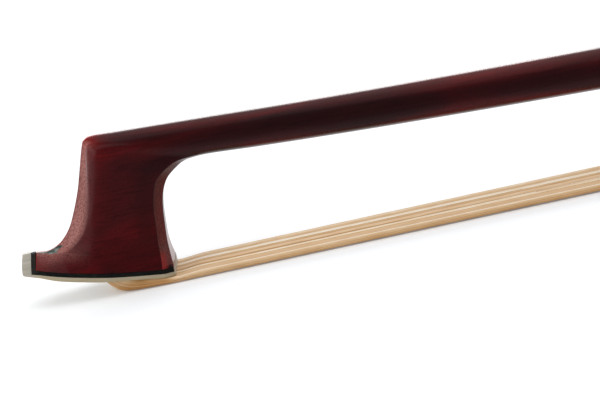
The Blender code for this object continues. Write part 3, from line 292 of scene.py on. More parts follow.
def black_liner():
    """Black-dyed fibre under the face plate, filed flush: matt, with grey file marks."""
    material, tree, shader = new_material(
        "black_fibre_liner", Roughness=0.5, Specular_IOR_Level=0.05)
    marks = add(tree, "TexNoise", {"Vector": stretched(tree, (900, 900, 1400)), "Scale": 1.0,
                                   "Detail": 3.0})
    tone = add(tree, "ValToRGB", {"Fac": marks.outputs["Fac"]}, stops=(
        (0.40, "0d0e0d"), (0.60, "151614"), (0.76, "242623")))
    # Lighter where the mesh is marked: the rear end pale, the upturned front a little lighter.
    rubbed = mark_on(tree, "wear_and_painted_light")
    bare = add(tree, "ValToRGB", {"Fac": rubbed}, stops=((0.5, "2c2927"), (0.9, "a8998c")))
    toned = over(tree, tone.outputs["Color"], rubbed, bare.outputs["Color"])
    connect(tree, shader, {"Base Color": toned})
    return material


def ivory():
    """Bone-coloured face plate, scraped and polished: warm grey with long faint grain lines."""
    # The darker yellow over the plate's side edges is painted shading.
    return grained("polished_bone_plate", (90, 900, 1500), {"Scale": 1.0, "Detail": 4.0},
                   ((0.30, "9c968a"), (0.50, "aaa498"), (0.70, "b7b0a3")), wear_and_painted_light="a8966f",
                   relief=(0.15, 0.00004), Roughness=0.38, Specular_IOR_Level=0.35,
                   Subsurface_Weight=0.08, Subsurface_Scale=0.0008)


def horsehair(name, attribute):
    """Bleached horsehair with rosin: each hair has its own tone, from pale straw to ochre. Tones
    given by the mesh also carry painted shading and a painted highlight.
    """
    material, tree, shader = new_material(
        name, Roughness=0.42, Specular_IOR_Level=0.35, Sheen_Weight=0.15, Sheen_Roughness=0.4,
        Sheen_Tint=srgb("fff0d8"))
    if attribute:
        tone = mark_on(tree, attribute)
    else:
        tone = add(tree, "TexNoise", {"Vector": stretched(tree, (6, 1500, 1500)), "Scale": 1.0,
                                      "Detail": 4.0}).outputs["Fac"]
    rosin = add(tree, "TexNoise", {"Vector": stretched(tree, (260, 700, 700)), "Scale": 1.0,
                                   "Detail": 2.0})
    mixed = add(tree, "MapRange", {"Value": rosin.outputs["Fac"], 1: 0.3, 2: 0.7, 3: -0.07,
                                   4: 0.07})
    mixed = add(tree, "Math", {0: tone, 1: mixed.outputs[0]}, operation="ADD")
    colour = add(tree, "ValToRGB", {"Fac": mixed.outputs[0]}, stops=(
        (0.05, "ab7841"), (0.28, "cb9c63"), (0.50, "dcb68b"), (0.72, "e9c89c"), (0.90, "f4e1c4"),
        (1.00, "fbf1e1")))
    connect(tree, shader, {"Base Color": colour.outputs["Color"]})
    return material


def metal(name, light, dark, roughness, scale):
    """A polished metal with fine rubbed lines along one direction and faint tarnish."""
    material, tree, shader = new_material(name, Metallic=1.0)
    lines = add(tree, "TexNoise", {"Vector": stretched(tree, scale), "Scale": 1.0, "Detail": 4.0})
    film = add(tree, "TexNoise", {"Vector": stretched(tree, (220, 220, 220)), "Scale": 1.0,
                                  "Detail": 3.0})
    rough = add(tree, "MapRange", {"Value": lines.outputs["Fac"], 1: 0.3, 2: 0.7,
                                   3: roughness - 0.06, 4: roughness + 0.10})
    toned = over(tree, srgb(light), film.outputs["Fac"], srgb(dark))
    connect(tree, shader, {"Base Color": toned, "Roughness": rough.outputs[0]})
    roughened(tree, shader, lines.outputs["Fac"], 0.12, 0.00003)
    return material


def mother_of_pearl():
    """Mother-of-pearl, ground flat and polished: cloudy bands of pale green, pink and grey."""
    return grained("polished_mother_of_pearl", (170, 420, 420),
                   {"Scale": 1.0, "Detail": 3.0, "Distortion": 1.6},
                   ((0.28, "b9cfc6"), (0.42, "e8ece6"), (0.52, "d8c4cc"), (0.62, "eef0ea"),
                    (0.76, "b4c2d2")), Roughness=0.16, Coat_Weight=0.6, Coat_Roughness=0.05)


def grip_leather():
    """Dark calf leather, pared thin and glued: pebbled grain with creases round the stick."""
    material, tree, shader = new_material(
        "pared_calf_leather", Roughness=0.58, Specular_IOR_Level=0.35)
    cells = add(tree, "TexVoronoi", {"Vector": stretched(tree, (1000, 1000, 1000)), "Scale": 1.6},
                feature="SMOOTH_F1")
    folds = add(tree, "TexNoise", {"Vector": stretched(tree, (500, 120, 120)), "Scale": 1.0,
                                   "Detail": 4.0})
    tone = add(tree, "ValToRGB", {"Fac": folds.outputs["Fac"]}, stops=(
        (0.35, "150f0d"), (0.55, "241a16"), (0.75, "38291f")))
    connect(tree, shader, {"Base Color": tone.outputs["Color"]})
    relief = add(tree, "Math", {0: cells.outputs["Distance"], 1: folds.outputs["Fac"]},
                 operation="ADD")
    roughened(tree, shader, relief.outputs[0], 0.6, 0.00015)
    return material


def plain_maple():
    """Maple, cut with a knife and left bare: pale with short darker flecks."""
    return grained("knife_cut_maple", (400, 1800, 900), {"Scale": 1.0, "Detail": 3.0},
                   ((0.35, "b08858"), (0.55, "cfae80"), (0.75, "dcc298")), Roughness=0.65)


# Meshes

def quads(rows, columns, round_columns=True, round_rows=False):
    """Faces of a grid of points numbered row by row, closed round its columns or rows if asked."""
    r = np.arange(rows if round_rows else rows - 1)[:, None]
    c = np.arange(columns if round_columns else columns - 1)[None, :]
    n, m = (r + 1) % rows, (c + 1) % columns
    corners = [r * columns + c, r * columns + m, n * columns + m, n * columns + c]
    return np.stack(np.broadcast_arrays(*corners), axis=-1).reshape(-1, 4)


def skin(rings):
    """A closed skin over rings (rows, columns, 3): quads, and a fan to the middle of each end."""
    rows, columns = rings.shape[:2]
    points = np.vstack([rings.reshape(-1, 3), rings[0].mean(axis=0), rings[-1].mean(axis=0)])
    faces = quads(rows, columns).tolist()
    for ring, pole in ((0, rows * columns), (rows - 1, rows * columns + 1)):
        base = ring * columns + np.arange(columns)
        faces += np.column_stack([base, np.roll(base, -1), np.full(columns, pole)]).tolist()
    return points, faces


def hoop(rings):
    """A closed skin over rings whose last is joined to their first."""
    return rings.reshape(-1, 3), quads(*rings.shape[:2], True, True).tolist()


def put_in_scene(name, data):
    """An object of a mesh, lamp or camera, linked into the scene."""
    item = bpy.data.objects.new(name, data)
    bpy.context.scene.collection.objects.link(item)
    return item


def eased_edges(piece, width, angle):
    """Rounds a piece's edges of more than an angle in degrees by a width in millimetres."""
    bevel = piece.modifiers.new("eased_edges", "BEVEL")
    bevel.width = width * MM
    bevel.segments = 3
    bevel.limit_method = "ANGLE"
    bevel.angle_limit = math.radians(angle)


def make_piece(name, points, faces, material, body, replaced=(), marks=None,
               sharp=None):
    """A piece in metres from points in millimetres; marks are named values for its points."""
    points = np.asarray(points, dtype=float)
    placed = (points - (LENGTH / 2, 0.0, 0.0)) * MM
    mesh = bpy.data.meshes.new(name)
    mesh.from_pydata(placed, [], faces)
    work = bmesh.new()
    work.from_mesh(mesh)
    bmesh.ops.recalc_face_normals(work, faces=work.faces)
    work.to_mesh(mesh)
    work.free()
    for key, values in (marks or {}).items():
        mesh.attributes.new(key, "FLOAT", "POINT").data.foreach_set(
            "value", np.asarray(values, dtype=np.float32))
    mesh.shade_smooth()
    if sharp:
        mesh.set_sharp_from_angle(angle=math.radians(sharp))
    mesh.materials.append(material)
    piece = put_in_scene(name, mesh)
    if isinstance(body, str):
        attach(piece, body)
    else:
        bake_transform(piece)
    if replaced:
        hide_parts(*replaced)
    return piece


def on_handle(points):
    """Points (along the handle, y, up from its axis) turned to the handle's tilt and place."""
    points = np.asarray(points, dtype=float)
    c, s = math.cos(HANDLE_TILT), math.sin(HANDLE_TILT)
    return np.stack([HANDLE_START + points[..., 0] * c - points[..., 2] * s, points[..., 1],
                     HANDLE_HEIGHT + points[..., 0] * s + points[..., 2] * c], axis=-1)


def lathe(profile, sides):
    """Rings (rows, sides, 3) of (along, radius) points turned about the x axis."""
    profile = np.asarray(profile, dtype=float)
    a = np.arange(sides) * 2 * math.pi / sides
    r = profile[:, 1:2]
    return np.stack([np.broadcast_to(profile[:, :1], (len(profile), sides)),
                     r * np.sin(a), r * np.cos(a)], axis=-1)


def catmull(rows, steps):
    """Catmull-Rom curve through rows of values, with a number of steps between each two."""
    rows = np.asarray(rows, dtype=float)
    p = np.vstack([2 * rows[0] - rows[1], rows, 2 * rows[-1] - rows[-2]])
    a, b, c, d = (p[i:len(p) - 3 + i, None, :] for i in range(4))
    t = (np.arange(steps) / steps)[None, :, None]
    curve = b + 0.5 * t * (c - a + t * (2 * a - 5 * b + 4 * c - d + t * (3 * (b - c) + d - a)))
    return np.vstack([curve.reshape(-1, rows.shape[1]), rows[-1:]])


def spaced_curve(rows, steps):
    """Cubic curve through unevenly spaced rows: the tangent at a row is the mean of the slopes on
    its two sides, each weighed by the other side's length, so that a long gap can't swing out a
    short one next to it."""
    rows = np.asarray(rows, dtype=float)
    gap = np.linalg.norm(np.diff(rows, axis=0), axis=1)[:, None]
    slope = np.diff(rows, axis=0) / gap
    inner = (slope[:-1] * gap[1:] + slope[1:] * gap[:-1]) / (gap[:-1] + gap[1:])
    tangent = np.vstack([slope[:1], inner, slope[-1:]])
    leave, arrive = (tangent[:-1] * gap)[:, None], (tangent[1:] * gap)[:, None]
    before, after = rows[:-1, None], rows[1:, None]
    t = (np.arange(steps) / steps)[None, :, None]
    curve = before * (1 - t * t * (3 - 2 * t)) + after * t * t * (3 - 2 * t)
    curve = curve + leave * t * (1 - t) ** 2 - arrive * t * t * (1 - t)
    return np.vstack([curve.reshape(-1, rows.shape[1]), rows[-1:]])


def smooth(low, high, value):
    """Smooth step of a value from 0 at low to 1 at high."""
    t = np.clip((np.asarray(value, dtype=float) - low) / (high - low), 0.0, 1.0)
    return t * t * (3 - 2 * t)


def fade(low, high, value):
    """Smooth step of a value from 1 at low to 0 at high."""
    return 1 - smooth(low, high, value)


def band(rise, top, edge, end, value):
    """Smooth band of a value: 0 up to rise, 1 from top to edge, 0 from end on."""
    return smooth(rise, top, value) * fade(edge, end, value)


def hump(middle, width, value):
    """Bell curve of a value: 1 at its middle, 1 / e at a width from it."""
    return np.exp(-((value - middle) / width) ** 2)


def on_octagon(angles, apothem, corner):
    """Distance from the axis of an octagon with eased corners, at angles from its top."""
    turn = np.abs((angles + math.pi / 8) % (math.pi / 4) - math.pi / 8)
    return apothem * np.minimum(1 / np.cos(turn), corner)


def to_metres(station, y=0.0, z=0.0):
    """A point in metres from its station, y and height in millimetres."""
    return ((station - LENGTH / 2) * MM, y * MM, z * MM)


# Stick

def camber(count):
    """Points and directions of the shaft's axis: a cubic Bezier from the head to the handle."""
    start = np.array([CAMBER_START, CAMBER_START_HEIGHT])
    end = np.array([HANDLE_START, HANDLE_HEIGHT])
    span = end[0] - start[0]
    p1 = start + span * CAMBER_REACH[0] * np.array([1.0, CAMBER_START_SLOPE])
    p2 = end - span * CAMBER_REACH[1] * np.array([1.0, math.tan(HANDLE_TILT)])
    t = (np.linspace(0.0, 1.0, count) ** RING_CROWDING)[:, None]
    points = ((1 - t) ** 3 * start + 3 * (1 - t) ** 2 * t * p1 + 3 * (1 - t) * t ** 2 * p2
              + t ** 3 * end)
    along = 3 * (1 - t) ** 2 * (p1 - start) + 6 * (1 - t) * t * (p2 - p1) + 3 * t ** 2 * (end - p2)
    return points, along / np.linalg.norm(along, axis=1)[:, None]


def stick_diameter(station):
    """Diameter grows quickly behind the head and hardly at all near the handle."""
    share = np.clip((station - CAMBER_START) / (HANDLE_START - CAMBER_START), 0.0, 1.0)
    return HEAD_DIAMETER + (HANDLE_DIAMETER - HEAD_DIAMETER) * (1 - (1 - share) ** TAPER_POWER)


def fillet(before, corner, after, cut, steps):
    """Quadratic curve round a corner, from a point cut millimetres before it to one after it."""
    back, ahead = before - corner, after - corner
    reach_back = np.linalg.norm(back, axis=-1, keepdims=True) + 1e-9
    reach_ahead = np.linalg.norm(ahead, axis=-1, keepdims=True) + 1e-9
    start = corner + back / reach_back * np.minimum(cut, 0.45 * reach_back)
    end = corner + ahead / reach_ahead * np.minimum(cut, 0.45 * reach_ahead)
    t = np.linspace(0.0, 1.0, steps)[None, :, None]
    return (1 - t) ** 2 * start[:, None] + 2 * (1 - t) * t * corner[:, None] + t ** 2 * end[:, None]


def between(a, b, steps):
    """Points on the straight line from a to b, both ends left out."""
    t = (np.arange(1, steps + 1) / (steps + 1))[None, :, None]
    return (1 - t) * a[:, None] + t * b[:, None]


# Place of each of the 49 points of a half ring on its corner scale: 1 ridge, 3 facet edge, 4 and 7
# the cheek's edges, 8 edge of the rear flat.
CORNER_SCALE = np.concatenate([
    [0.0], np.linspace(0.75, 1.25, 5), np.linspace(1.45, 2.55, 6), np.linspace(2.7, 3.3, 7),
    np.linspace(3.65, 4.35, 6), np.linspace(4.7, 6.6, 7), np.linspace(6.85, 7.15, 7),
    np.linspace(7.4, 7.65, 2), np.linspace(7.85, 8.15, 5), np.linspace(8.4, 8.7, 2), [9.0]])
HEAD_ANGLES = np.interp(CORNER_SCALE, np.arange(10),
                        np.array([0, 1, 3, 5, 7, 9, 11, 13, 15, 16]) * math.pi / 16)
EVEN_ANGLES = np.linspace(0.0, math.pi, 49)


def carved_half(rows, hollow):
    """Right halves of carved head sections as (depth, half-width) points, front to rear."""
    (front_x, front_z, rear_x, rear_z, ridge, facet_u, facet_y,
     cheek_u, cheek_y, rear_u, rear_y, flat_y) = rows.T[:12]
    length = np.hypot(rear_x - front_x, rear_z - front_z)
    nothing = np.zeros_like(length)
    front = np.stack([nothing, nothing], axis=1)
    p1 = np.stack([nothing, ridge], axis=1)
    p2 = np.stack([facet_u, facet_y], axis=1)
    p3 = np.stack([cheek_u, cheek_y], axis=1)
    p4 = np.stack([length - rear_u, rear_y], axis=1)
    p5 = np.stack([length, flat_y], axis=1)
    end = np.stack([length, nothing], axis=1)
    line = [front, p1, p2, p3, p4, p5, end]
    ridge_turn, facet_turn, cheek_turn, rear_turn, flat_turn = (
        fillet(*line[i:i + 3], *turn) for i, turn in enumerate(EDGE_TURNS))
    facet = between(ridge_turn[:, -1], facet_turn[:, 0], 6)
    t = (np.arange(1, 7) / 7)[None, :]
    bow = 4 * t * (1 - t) * hollow[:, None]
    facet = facet + np.stack([0.7 * bow, -0.7 * bow], axis=-1)
    return np.concatenate([
        front[:, None], ridge_turn, facet, facet_turn, cheek_turn,
        between(cheek_turn[:, -1], rear_turn[:, 0], 7), rear_turn,
        between(rear_turn[:, -1], flat_turn[:, 0], 2), flat_turn,
        between(flat_turn[:, -1], end, 2), end[:, None]], axis=1)


def head_rows():
    """Dense rows of head sections, with a last column for roundness, fanned from the plate up, and
    the number of the shaft's first ring."""
    last = HEAD_SECTIONS[-1]
    nose = np.hstack([NOSE[:, :4], np.tile(last[4:], (len(NOSE), 1)), NOSE[:, 4:]])
    points, along = camber(SHAFT_RINGS)
    at = int(np.argmax(points[:, 0] > SHAFT_FROM))
    half = stick_diameter(points[at, 0]) / 2
    normal = np.array([-along[at, 1], along[at, 0]])
    top, bottom = points[at] + normal * half, points[at] - normal * half
    shaft = np.concatenate([top, bottom, last[4:], [1.0]])
    body = np.hstack([HEAD_SECTIONS, np.zeros((len(HEAD_SECTIONS), 1))])
    table = np.vstack([body, nose, shaft])
    rows = catmull(table, HEAD_STEPS)
    corner = 2 * HEAD_STEPS
    rows[:corner + 1, KINKED] = catmull(table[:3, KINKED], HEAD_STEPS)
    rows[corner:, KINKED] = catmull(table[2:, KINKED], HEAD_STEPS)
    return rows, at


def stick_rings():
    """Rings of the whole stick (rows, 96, 3), the place of the head's rings in sections, and the
    rows that they were drawn from."""
    rows, at = head_rows()
    count = len(rows)
    step = np.arange(count) / HEAD_STEPS
    hollow = FACET_HOLLOW * np.clip(step - 1.0, -1.0, 1.0)
    carved = carved_half(rows, hollow)
    front, rear = rows[:, 0:2], rows[:, 2:4]
    length = np.linalg.norm(rear - front, axis=1)[:, None]
    width = np.broadcast_to(HEAD_DIAMETER / 2 * np.sin(HEAD_ANGLES), (count, len(HEAD_ANGLES)))
    rounded = np.stack([length / 2 * (1 - np.cos(HEAD_ANGLES)), width], axis=-1)
    r = rows[:, 12][:, None, None]
    half = (1 - r) * carved + r * rounded
    share = half[..., :1] / length[:, None]
    spot = front[:, None] + (rear - front)[:, None] * share
    sag = np.where(step < 2, 1 - step / 4, np.clip(0.5 - (step - 2) / 4, 0.0, 0.5))[:, None]
    drop = sag * (spot[..., 0] - front[:, :1]) * (rear[:, :1] - spot[..., 0]) / (2 * PLATE_RADIUS)
    head = np.stack([spot[..., 0], half[..., 1], spot[..., 1] - drop], axis=-1)

    points, along = camber(SHAFT_RINGS)
    points, along = points[at + 1:], along[at + 1:]
    flats = HANDLE_LENGTH - FLATS_FULL
    axial = np.concatenate([np.linspace(1.0, flats - FLATS_FADE, 12),
                            np.linspace(flats - FLATS_FADE, flats, 14)[1:],
                            np.linspace(flats, HANDLE_LENGTH - 0.4, 40)[1:],
                            [HANDLE_LENGTH, HANDLE_LENGTH, HANDLE_LENGTH + NIPPLE_LENGTH]])
    direction = np.array([math.cos(HANDLE_TILT), math.sin(HANDLE_TILT)])
    handle = np.array([HANDLE_START, HANDLE_HEIGHT]) + axial[:, None] * direction
    centres = np.vstack([points, handle])
    ways = np.vstack([along, np.tile(direction, (len(handle), 1))])
    radius = np.append(stick_diameter(points[:, 0]), np.full(len(handle), HANDLE_DIAMETER)) / 2
    radius[-3:] = HANDLE_DIAMETER / 2 - HANDLE_CHAMFER, NIPPLE_DIAMETER / 2, NIPPLE_DIAMETER / 2
    flatness = np.append(np.zeros(len(points)), smooth(flats - FLATS_FADE, flats, axial))[:, None]
    flatness[-2:] = 0.0
    even = smooth(EVEN_FROM, EVEN_TO, centres[:, 0])[:, None]
    angles = (1 - even) * HEAD_ANGLES + even * EVEN_ANGLES
    octagon = on_octagon(angles, 1.0, HANDLE_CORNER)
    spread = radius[:, None] * ((1 - flatness) + flatness * octagon)
    up = spread * np.cos(angles)
    shaft = np.stack([centres[:, :1] - ways[:, 1:] * up, spread * np.sin(angles),
                      centres[:, 1:] + ways[:, :1] * up], axis=-1)
    halves = np.vstack([head, shaft])
    rings = np.concatenate([halves, halves[:, -2:0:-1] * (1.0, -1.0, 1.0)], axis=1)
    return rings, step, rows


def stick_marks(rings, step, rows):
    """Marks on the right half of each ring, where 1 is full: scraped facets, with a painted
    highlight on the beak and painted reflections on the chamfer and the rear flat; wear on the
    edges, with painted light on the top of the shaft; the black stain at the foot of the beak,
    whose pale tones are a painted highlight; and painted shading, with the liner's black chip at
    the heel.

    Limits are on the corner scale q, in sections of the head s, or in millimetres for a point's
    station x and height z and for the station of its ring's front point.
    """
    half = len(CORNER_SCALE)
    x, z = rings[:, :half, 0], rings[:, :half, 2]
    q = CORNER_SCALE[None, :]
    behind = np.full(len(rings) - len(step), 99.0)
    s, front = (np.append(values, behind)[:, None] for values in (step, rows[:, 0]))
    at_head, beyond, near = s < 14, smooth(10.0, 13.0, s), fade(40.0, 80.0, x)
    bevel = band(7.0, 7.1, 7.9, 8.0, q) * at_head
    chip = hump(22.6, 0.8, x) * fade(2.75, 3.1, z) * (q > 6.8)

    facet = band(1.05, 1.30, 1.9, 3.4 + 0.4 * smooth(7.5, 9.0, s), q)
    facet = facet * (0.85 + 0.15 * fade(12.0, 15.0, z) + 0.13 * smooth(19.0, 21.0, z))
    facet = facet * (1 - 0.60 * smooth(7.8, 9.2, s) * smooth(1.9, 2.5, q))
    facet = facet * band(1.0, 2.4, 9.3, 10.6, s)
    # Painted highlight on the flare of the beak, painted reflection on the rear flat and painted
    # sheen on the chamfer, all in the scraped facets' pale colour.
    beak = hump(4.8, 3.0, x) * hump(7.9, 0.95, z) * band(1.05, 1.5, 4.5, 5.5, q)
    rear_flat_reflection = smooth(8.05, 8.15, q) * fade(5.0, 9.0, z) * at_head
    facet = np.maximum.reduce([facet, 0.5 * beak, 0.7 * rear_flat_reflection,
                               bevel * (0.10 + 0.14 * fade(4.0, 9.0, z))])

    ridge = fade(0.9, 1.3, q) * fade(10.0, 12.5, s)
    nose = hump(14.6, 1.6, x) * hump(24.9, 1.0, z)
    corner = hump(2.6, 1.5, x) * band(3.0, 6.0, 7.6, 8.3, z)
    heel = bevel * fade(7.35, 7.6, q) * fade(4.2, 6.0, z)
    beside = band(2.6, 3.3, 3.9, 5.2, q) * band(4.0, 6.0, 8.0, 10.0, s)
    # Painted light: the top of the shaft redder, as if lit from above. The other terms are wear.
    shaft_top = beyond * fade(2.2, 3.0, q) * (1 - near)
    wear_and_painted_light = (0.6 * ridge + 0.40 * nose + 0.10 * corner + 0.55 * heel + 0.08 * beside
            + 0.10 * shaft_top)

    # The black stain along the ridge at the foot of the beak; its pale grey-green tones, set in the
    # wood's material, are a painted highlight.
    reach = 2.00 + 0.55 * fade(3.6, 4.4, front)
    ink_and_highlight = 0.95 * band(1.05, 1.15, reach - 0.5, reach, q) * smooth(1.8, 2.1, s)
    ink_and_highlight = ink_and_highlight * fade(5.4, 7.0, front) * (s < 6)

    # Painted shading: a band before the cheek's rear edge, lines on both edges of the chamfer, the
    # sides of the shaft (less towards its underside), the low cheek, the top of the cheek and a
    # patch on the chamfer. The chip is the liner's black showing at the heel, not shading.
    near_rear = hump(6.5, 0.55, q) * smooth(3.0, 4.5, s) * at_head
    lines = (hump(7.0, 0.07, q) + hump(8.0, 0.07, q)) * smooth(3.5, 6.0, z) * at_head
    core = smooth(2.6, 3.5, q + 0.8 * near) * (1 - 0.85 * smooth(4.4, 6.4, q)) * beyond
    foot = band(3.2, 4.2, 6.9, 7.0, q) * fade(7.5, 10.0, z) * at_head
    brow = smooth(19.5, 22.0, z) * smooth(4.2, 5.6, q) * fade(11.0, 13.0, s)
    painted_shade_and_chip = np.maximum(0.5 * near_rear + 0.7 * lines + 0.62 * core, 0.38 * foot)
    painted_shade_and_chip = painted_shade_and_chip + 0.5 * bevel * hump(5.5, 0.9, z) + 0.22 * brow + chip
    return {"facet": facet * (1 - chip), "wear_and_painted_light": wear_and_painted_light, "ink_and_highlight": ink_and_highlight, "painted_shade_and_chip": painted_shade_and_chip}


def make_stick(material):
    """The stick on the solids' own formulas, with marks of wear, stain, scraped facets and painted
    light and shading. Its mortise, slot and bore, which plug, plate, frog and button hide, are
    left out."""
    rings, step, rows = stick_rings()
    points, faces = skin(rings)
    marks = {}
    for key, half in stick_marks(rings, step, rows).items():
        whole = np.concatenate([half, half[:, -2:0:-1]], axis=1)
        marks[key] = np.clip(np.append(whole, [0.0, 0.0]), 0.0, 1.0)
    make_piece("stick_carved", points, faces, material, "stick", ("stick",), marks,
               sharp=32)


# Face plate and liner

UPTURNED_ROWS, SIDE_COLUMNS = 14, 7     # rows before the beak, columns beside the mortise


def sheet_solid(inner, outer, keep):
    """Two grids (rows, columns, 3) closed into a sheet: kept cells, walls round their border."""
    rows, columns = inner.shape[:2]
    cells = quads(rows, columns, round_columns=False)[keep.ravel()]
    sides = np.concatenate([cells[:, [0, 1]], cells[:, [1, 2]], cells[:, [2, 3]], cells[:, [3, 0]]])
    keys = np.sort(sides, axis=1)
    _, first, count = np.unique(keys, axis=0, return_index=True, return_counts=True)
    border = sides[first[count == 1]]
    shift = rows * columns
    walls = np.hstack([border, border[:, ::-1] + shift])
    points = np.vstack([inner.reshape(-1, 3), outer.reshape(-1, 3)])
    return points, np.vstack([cells, cells[:, ::-1] + shift, walls])


def head_sheet(offset, thick, front_offset, front_thick, above, bulge, swell):
    """Inner and outer grid of an L-shaped sheet: along the underside, then up before the beak.

    Its columns keep two lines on the sides of the mortise, whose cells are left out.
    """
    outline = carved_half(HEAD_SECTIONS[:1], np.array([-FACET_HOLLOW]))[0]
    pocket_end = TIP_POCKET_START + TIP_POCKET_LENGTH
    stations = np.concatenate([np.linspace(HEEL_STATION, 21.2, 12)[:-1],
                               np.linspace(21.2, pocket_end, 4)[:-1],
                               np.linspace(pocket_end, TIP_POCKET_START, 14),
                               np.linspace(TIP_POCKET_START, BEAK_FRONT, 24)[1:-1]])
    widths = np.interp(stations, outline[1:-1, 0] + BEAK_FRONT, outline[1:-1, 1])
    inner_x = BEAK_FRONT - front_offset
    outer_x = inner_x - front_thick
    foot_in = float(underside(inner_x)) - offset
    foot_out = float(underside(outer_x)) - offset - thick + 1.2 * bulge
    top = BEAK_TOP + above
    rise = np.linspace(0.0, 1.0, UPTURNED_ROWS)
    low = underside(stations) - offset
    full = thick + swell * band(1.5, 6.0, 11.5, 14.5, stations) - bulge * fade(1.5, 5.0, stations)
    up_in, up_out = foot_in + rise * (top - foot_in), foot_out + rise * (top - foot_out)
    front_in = leaning(up_in, inner_x, offset)
    front_out = leaning(up_out, outer_x, offset + thick) - bulge * np.sin(math.pi * rise)
    front_out[0] += 2.5 * bulge
    inner = np.vstack([np.column_stack([stations, low]), np.column_stack([front_in, up_in])])
    outer = np.vstack([np.column_stack([stations, low - full]),
                       np.column_stack([front_out, up_out])])
    upturned = np.interp(up_in, [foot_in, 7.45, BEAK_TOP, top], [3.10, 2.0, 0.45, 0.38])
    widths = np.concatenate([widths, upturned])
    hole = np.minimum(TIP_POCKET_WIDTH / 2, 0.72 * widths)
    share = np.linspace(-1, 0, SIDE_COLUMNS)
    left = -hole[:, None] + (widths - hole)[:, None] * share[None, :]
    middle = hole[:, None] * np.linspace(-1, 1, 9)[None, 1:-1]
    across = np.hstack([left, middle, -left[:, ::-1]])
    grids = [np.stack([np.broadcast_to(line[:, :1], across.shape), across,
                       np.broadcast_to(line[:, 1:], across.shape)], axis=-1)
             for line in (inner, outer)]
    middle_x = (stations[:-1] + stations[1:]) / 2
    in_pocket = np.zeros(len(across) - 1, dtype=bool)
    in_pocket[:len(middle_x)] = (middle_x > TIP_POCKET_START) & (middle_x < pocket_end)
    keep = np.tile(~in_pocket[:, None], across.shape[1] - 1)
    keep[:, :SIDE_COLUMNS - 1] = keep[:, 1 - SIDE_COLUMNS:] = True
    return *grids, keep


def make_head_sheets(liner_material, plate_material):
    """Black liner and pale face plate, with their edges eased by a bevel."""
    for name, node, material, sizes, slot, ease in (
            ("liner_filed", "tip_liner", liner_material,
             (FIT, LINER_THICK, FIT, LINER_FRONT, 0.02, 0.0, 0.0), "ebony", 0.04),
            ("face_plate_polished", "tip_plate", plate_material,
             (2 * FIT + LINER_THICK, PLATE_THICK, 2 * FIT + LINER_FRONT, PLATE_FRONT, SHEET_RISE,
              0.12, 0.15), "ivory", 0.15)):
        inner, outer, keep = head_sheet(*sizes)
        points, faces = sheet_solid(inner, outer, keep)
        rows, columns = inner.shape[:2]
        # On the liner the rim makes its upturned front a little lighter and its rear end pale; on
        # the plate it darkens the side edges as painted shading.
        rim = np.zeros((rows, columns))
        if slot == "ebony":
            rim[-UPTURNED_ROWS:, :] = 0.5
            rim[0, :] = 0.9
        else:
            rim[:-UPTURNED_ROWS, [0, -1]] = 0.8
        low = np.concatenate([rim.ravel() * (1.0 if slot == "ebony" else 0.6), rim.ravel()])
        piece = make_piece(name, points, faces.tolist(), material, "stick", (node,),
                           {"wear_and_painted_light": low})
        eased_edges(piece, ease, 50)


# Hair

HEEL_LEAD, HAIR_END, HANK_STEPS = 4.0, 18.9, 6      # behind the head, behind the mouth, steps
HAIR_RADIUS, WIRE_RADIUS = 0.11, 0.15
HAIRS_AROUND, HAIRS_INSIDE, HAIR_SIDES = 128, 40, 6
CORE_SHARE, CORE_INSET = 0.82, 0.16     # of the hank's thickness, and narrower on each side


def hank_curves():
    """Lower and upper curve of the hank, as rows of (station, height): the fold under the head,
    which fills the space below the plate, then a nearly straight run to the frog."""
    heel = HAIR_UNDER_PLATE / 2
    rim = HEEL_HEIGHT - 2 * FIT - LINER_THICK - PLATE_THICK - FIT - heel
    low = [(13.75, 3.05), (13.05, 2.72), (12.25, 2.30), (12.55, 1.75), (13.15, 1.18),
           (13.85, 0.64), (14.70, 0.32), (16.20, 0.19), (18.80, 0.16), (HEEL_STATION, rim - heel)]
    high = [(14.75, 3.05), (14.72, 2.62), (14.90, 2.30), (15.40, 2.17), (16.00, 2.06),
            (16.90, 1.90), (17.90, 1.74), (19.00, 1.57), (20.60, 1.35), (HEEL_STATION, rim + heel)]
    pressed, half = HAIR_PRESSED / 2, HAIR_THICK / 2
    free = HAIR_LIFT + half
    mouth = FERRULE_WALL + 0.25 + pressed
    inside = SLIDE_TOP + 0.2 + pressed
    start = HEEL_STATION + HEEL_LEAD
    stations = np.concatenate([start + np.array([0.0, 3.0, 9.0, 24.0]),
                               np.linspace(start + 60.0, MOUTH - 60.0, 5),
                               MOUTH - np.array([24.0, 12.0])])
    run = [(station, free + (mouth - free) * (station - start) / (MOUTH - start), half)
           for station in stations]
    run += [(MOUTH, mouth, pressed), (MOUTH + 4.0, mouth + 0.25, pressed),
            (MOUTH + FERRULE_LENGTH - 2.0, inside - 0.1, pressed),
            (MOUTH + FERRULE_LENGTH + 1.0, inside, pressed), (MOUTH + HAIR_END, inside, pressed)]
    low += [(station, height - thick) for station, height, thick in run]
    high += [(station, height + thick) for station, height, thick in run]
    return spaced_curve(low, HANK_STEPS), spaced_curve(high, HANK_STEPS)


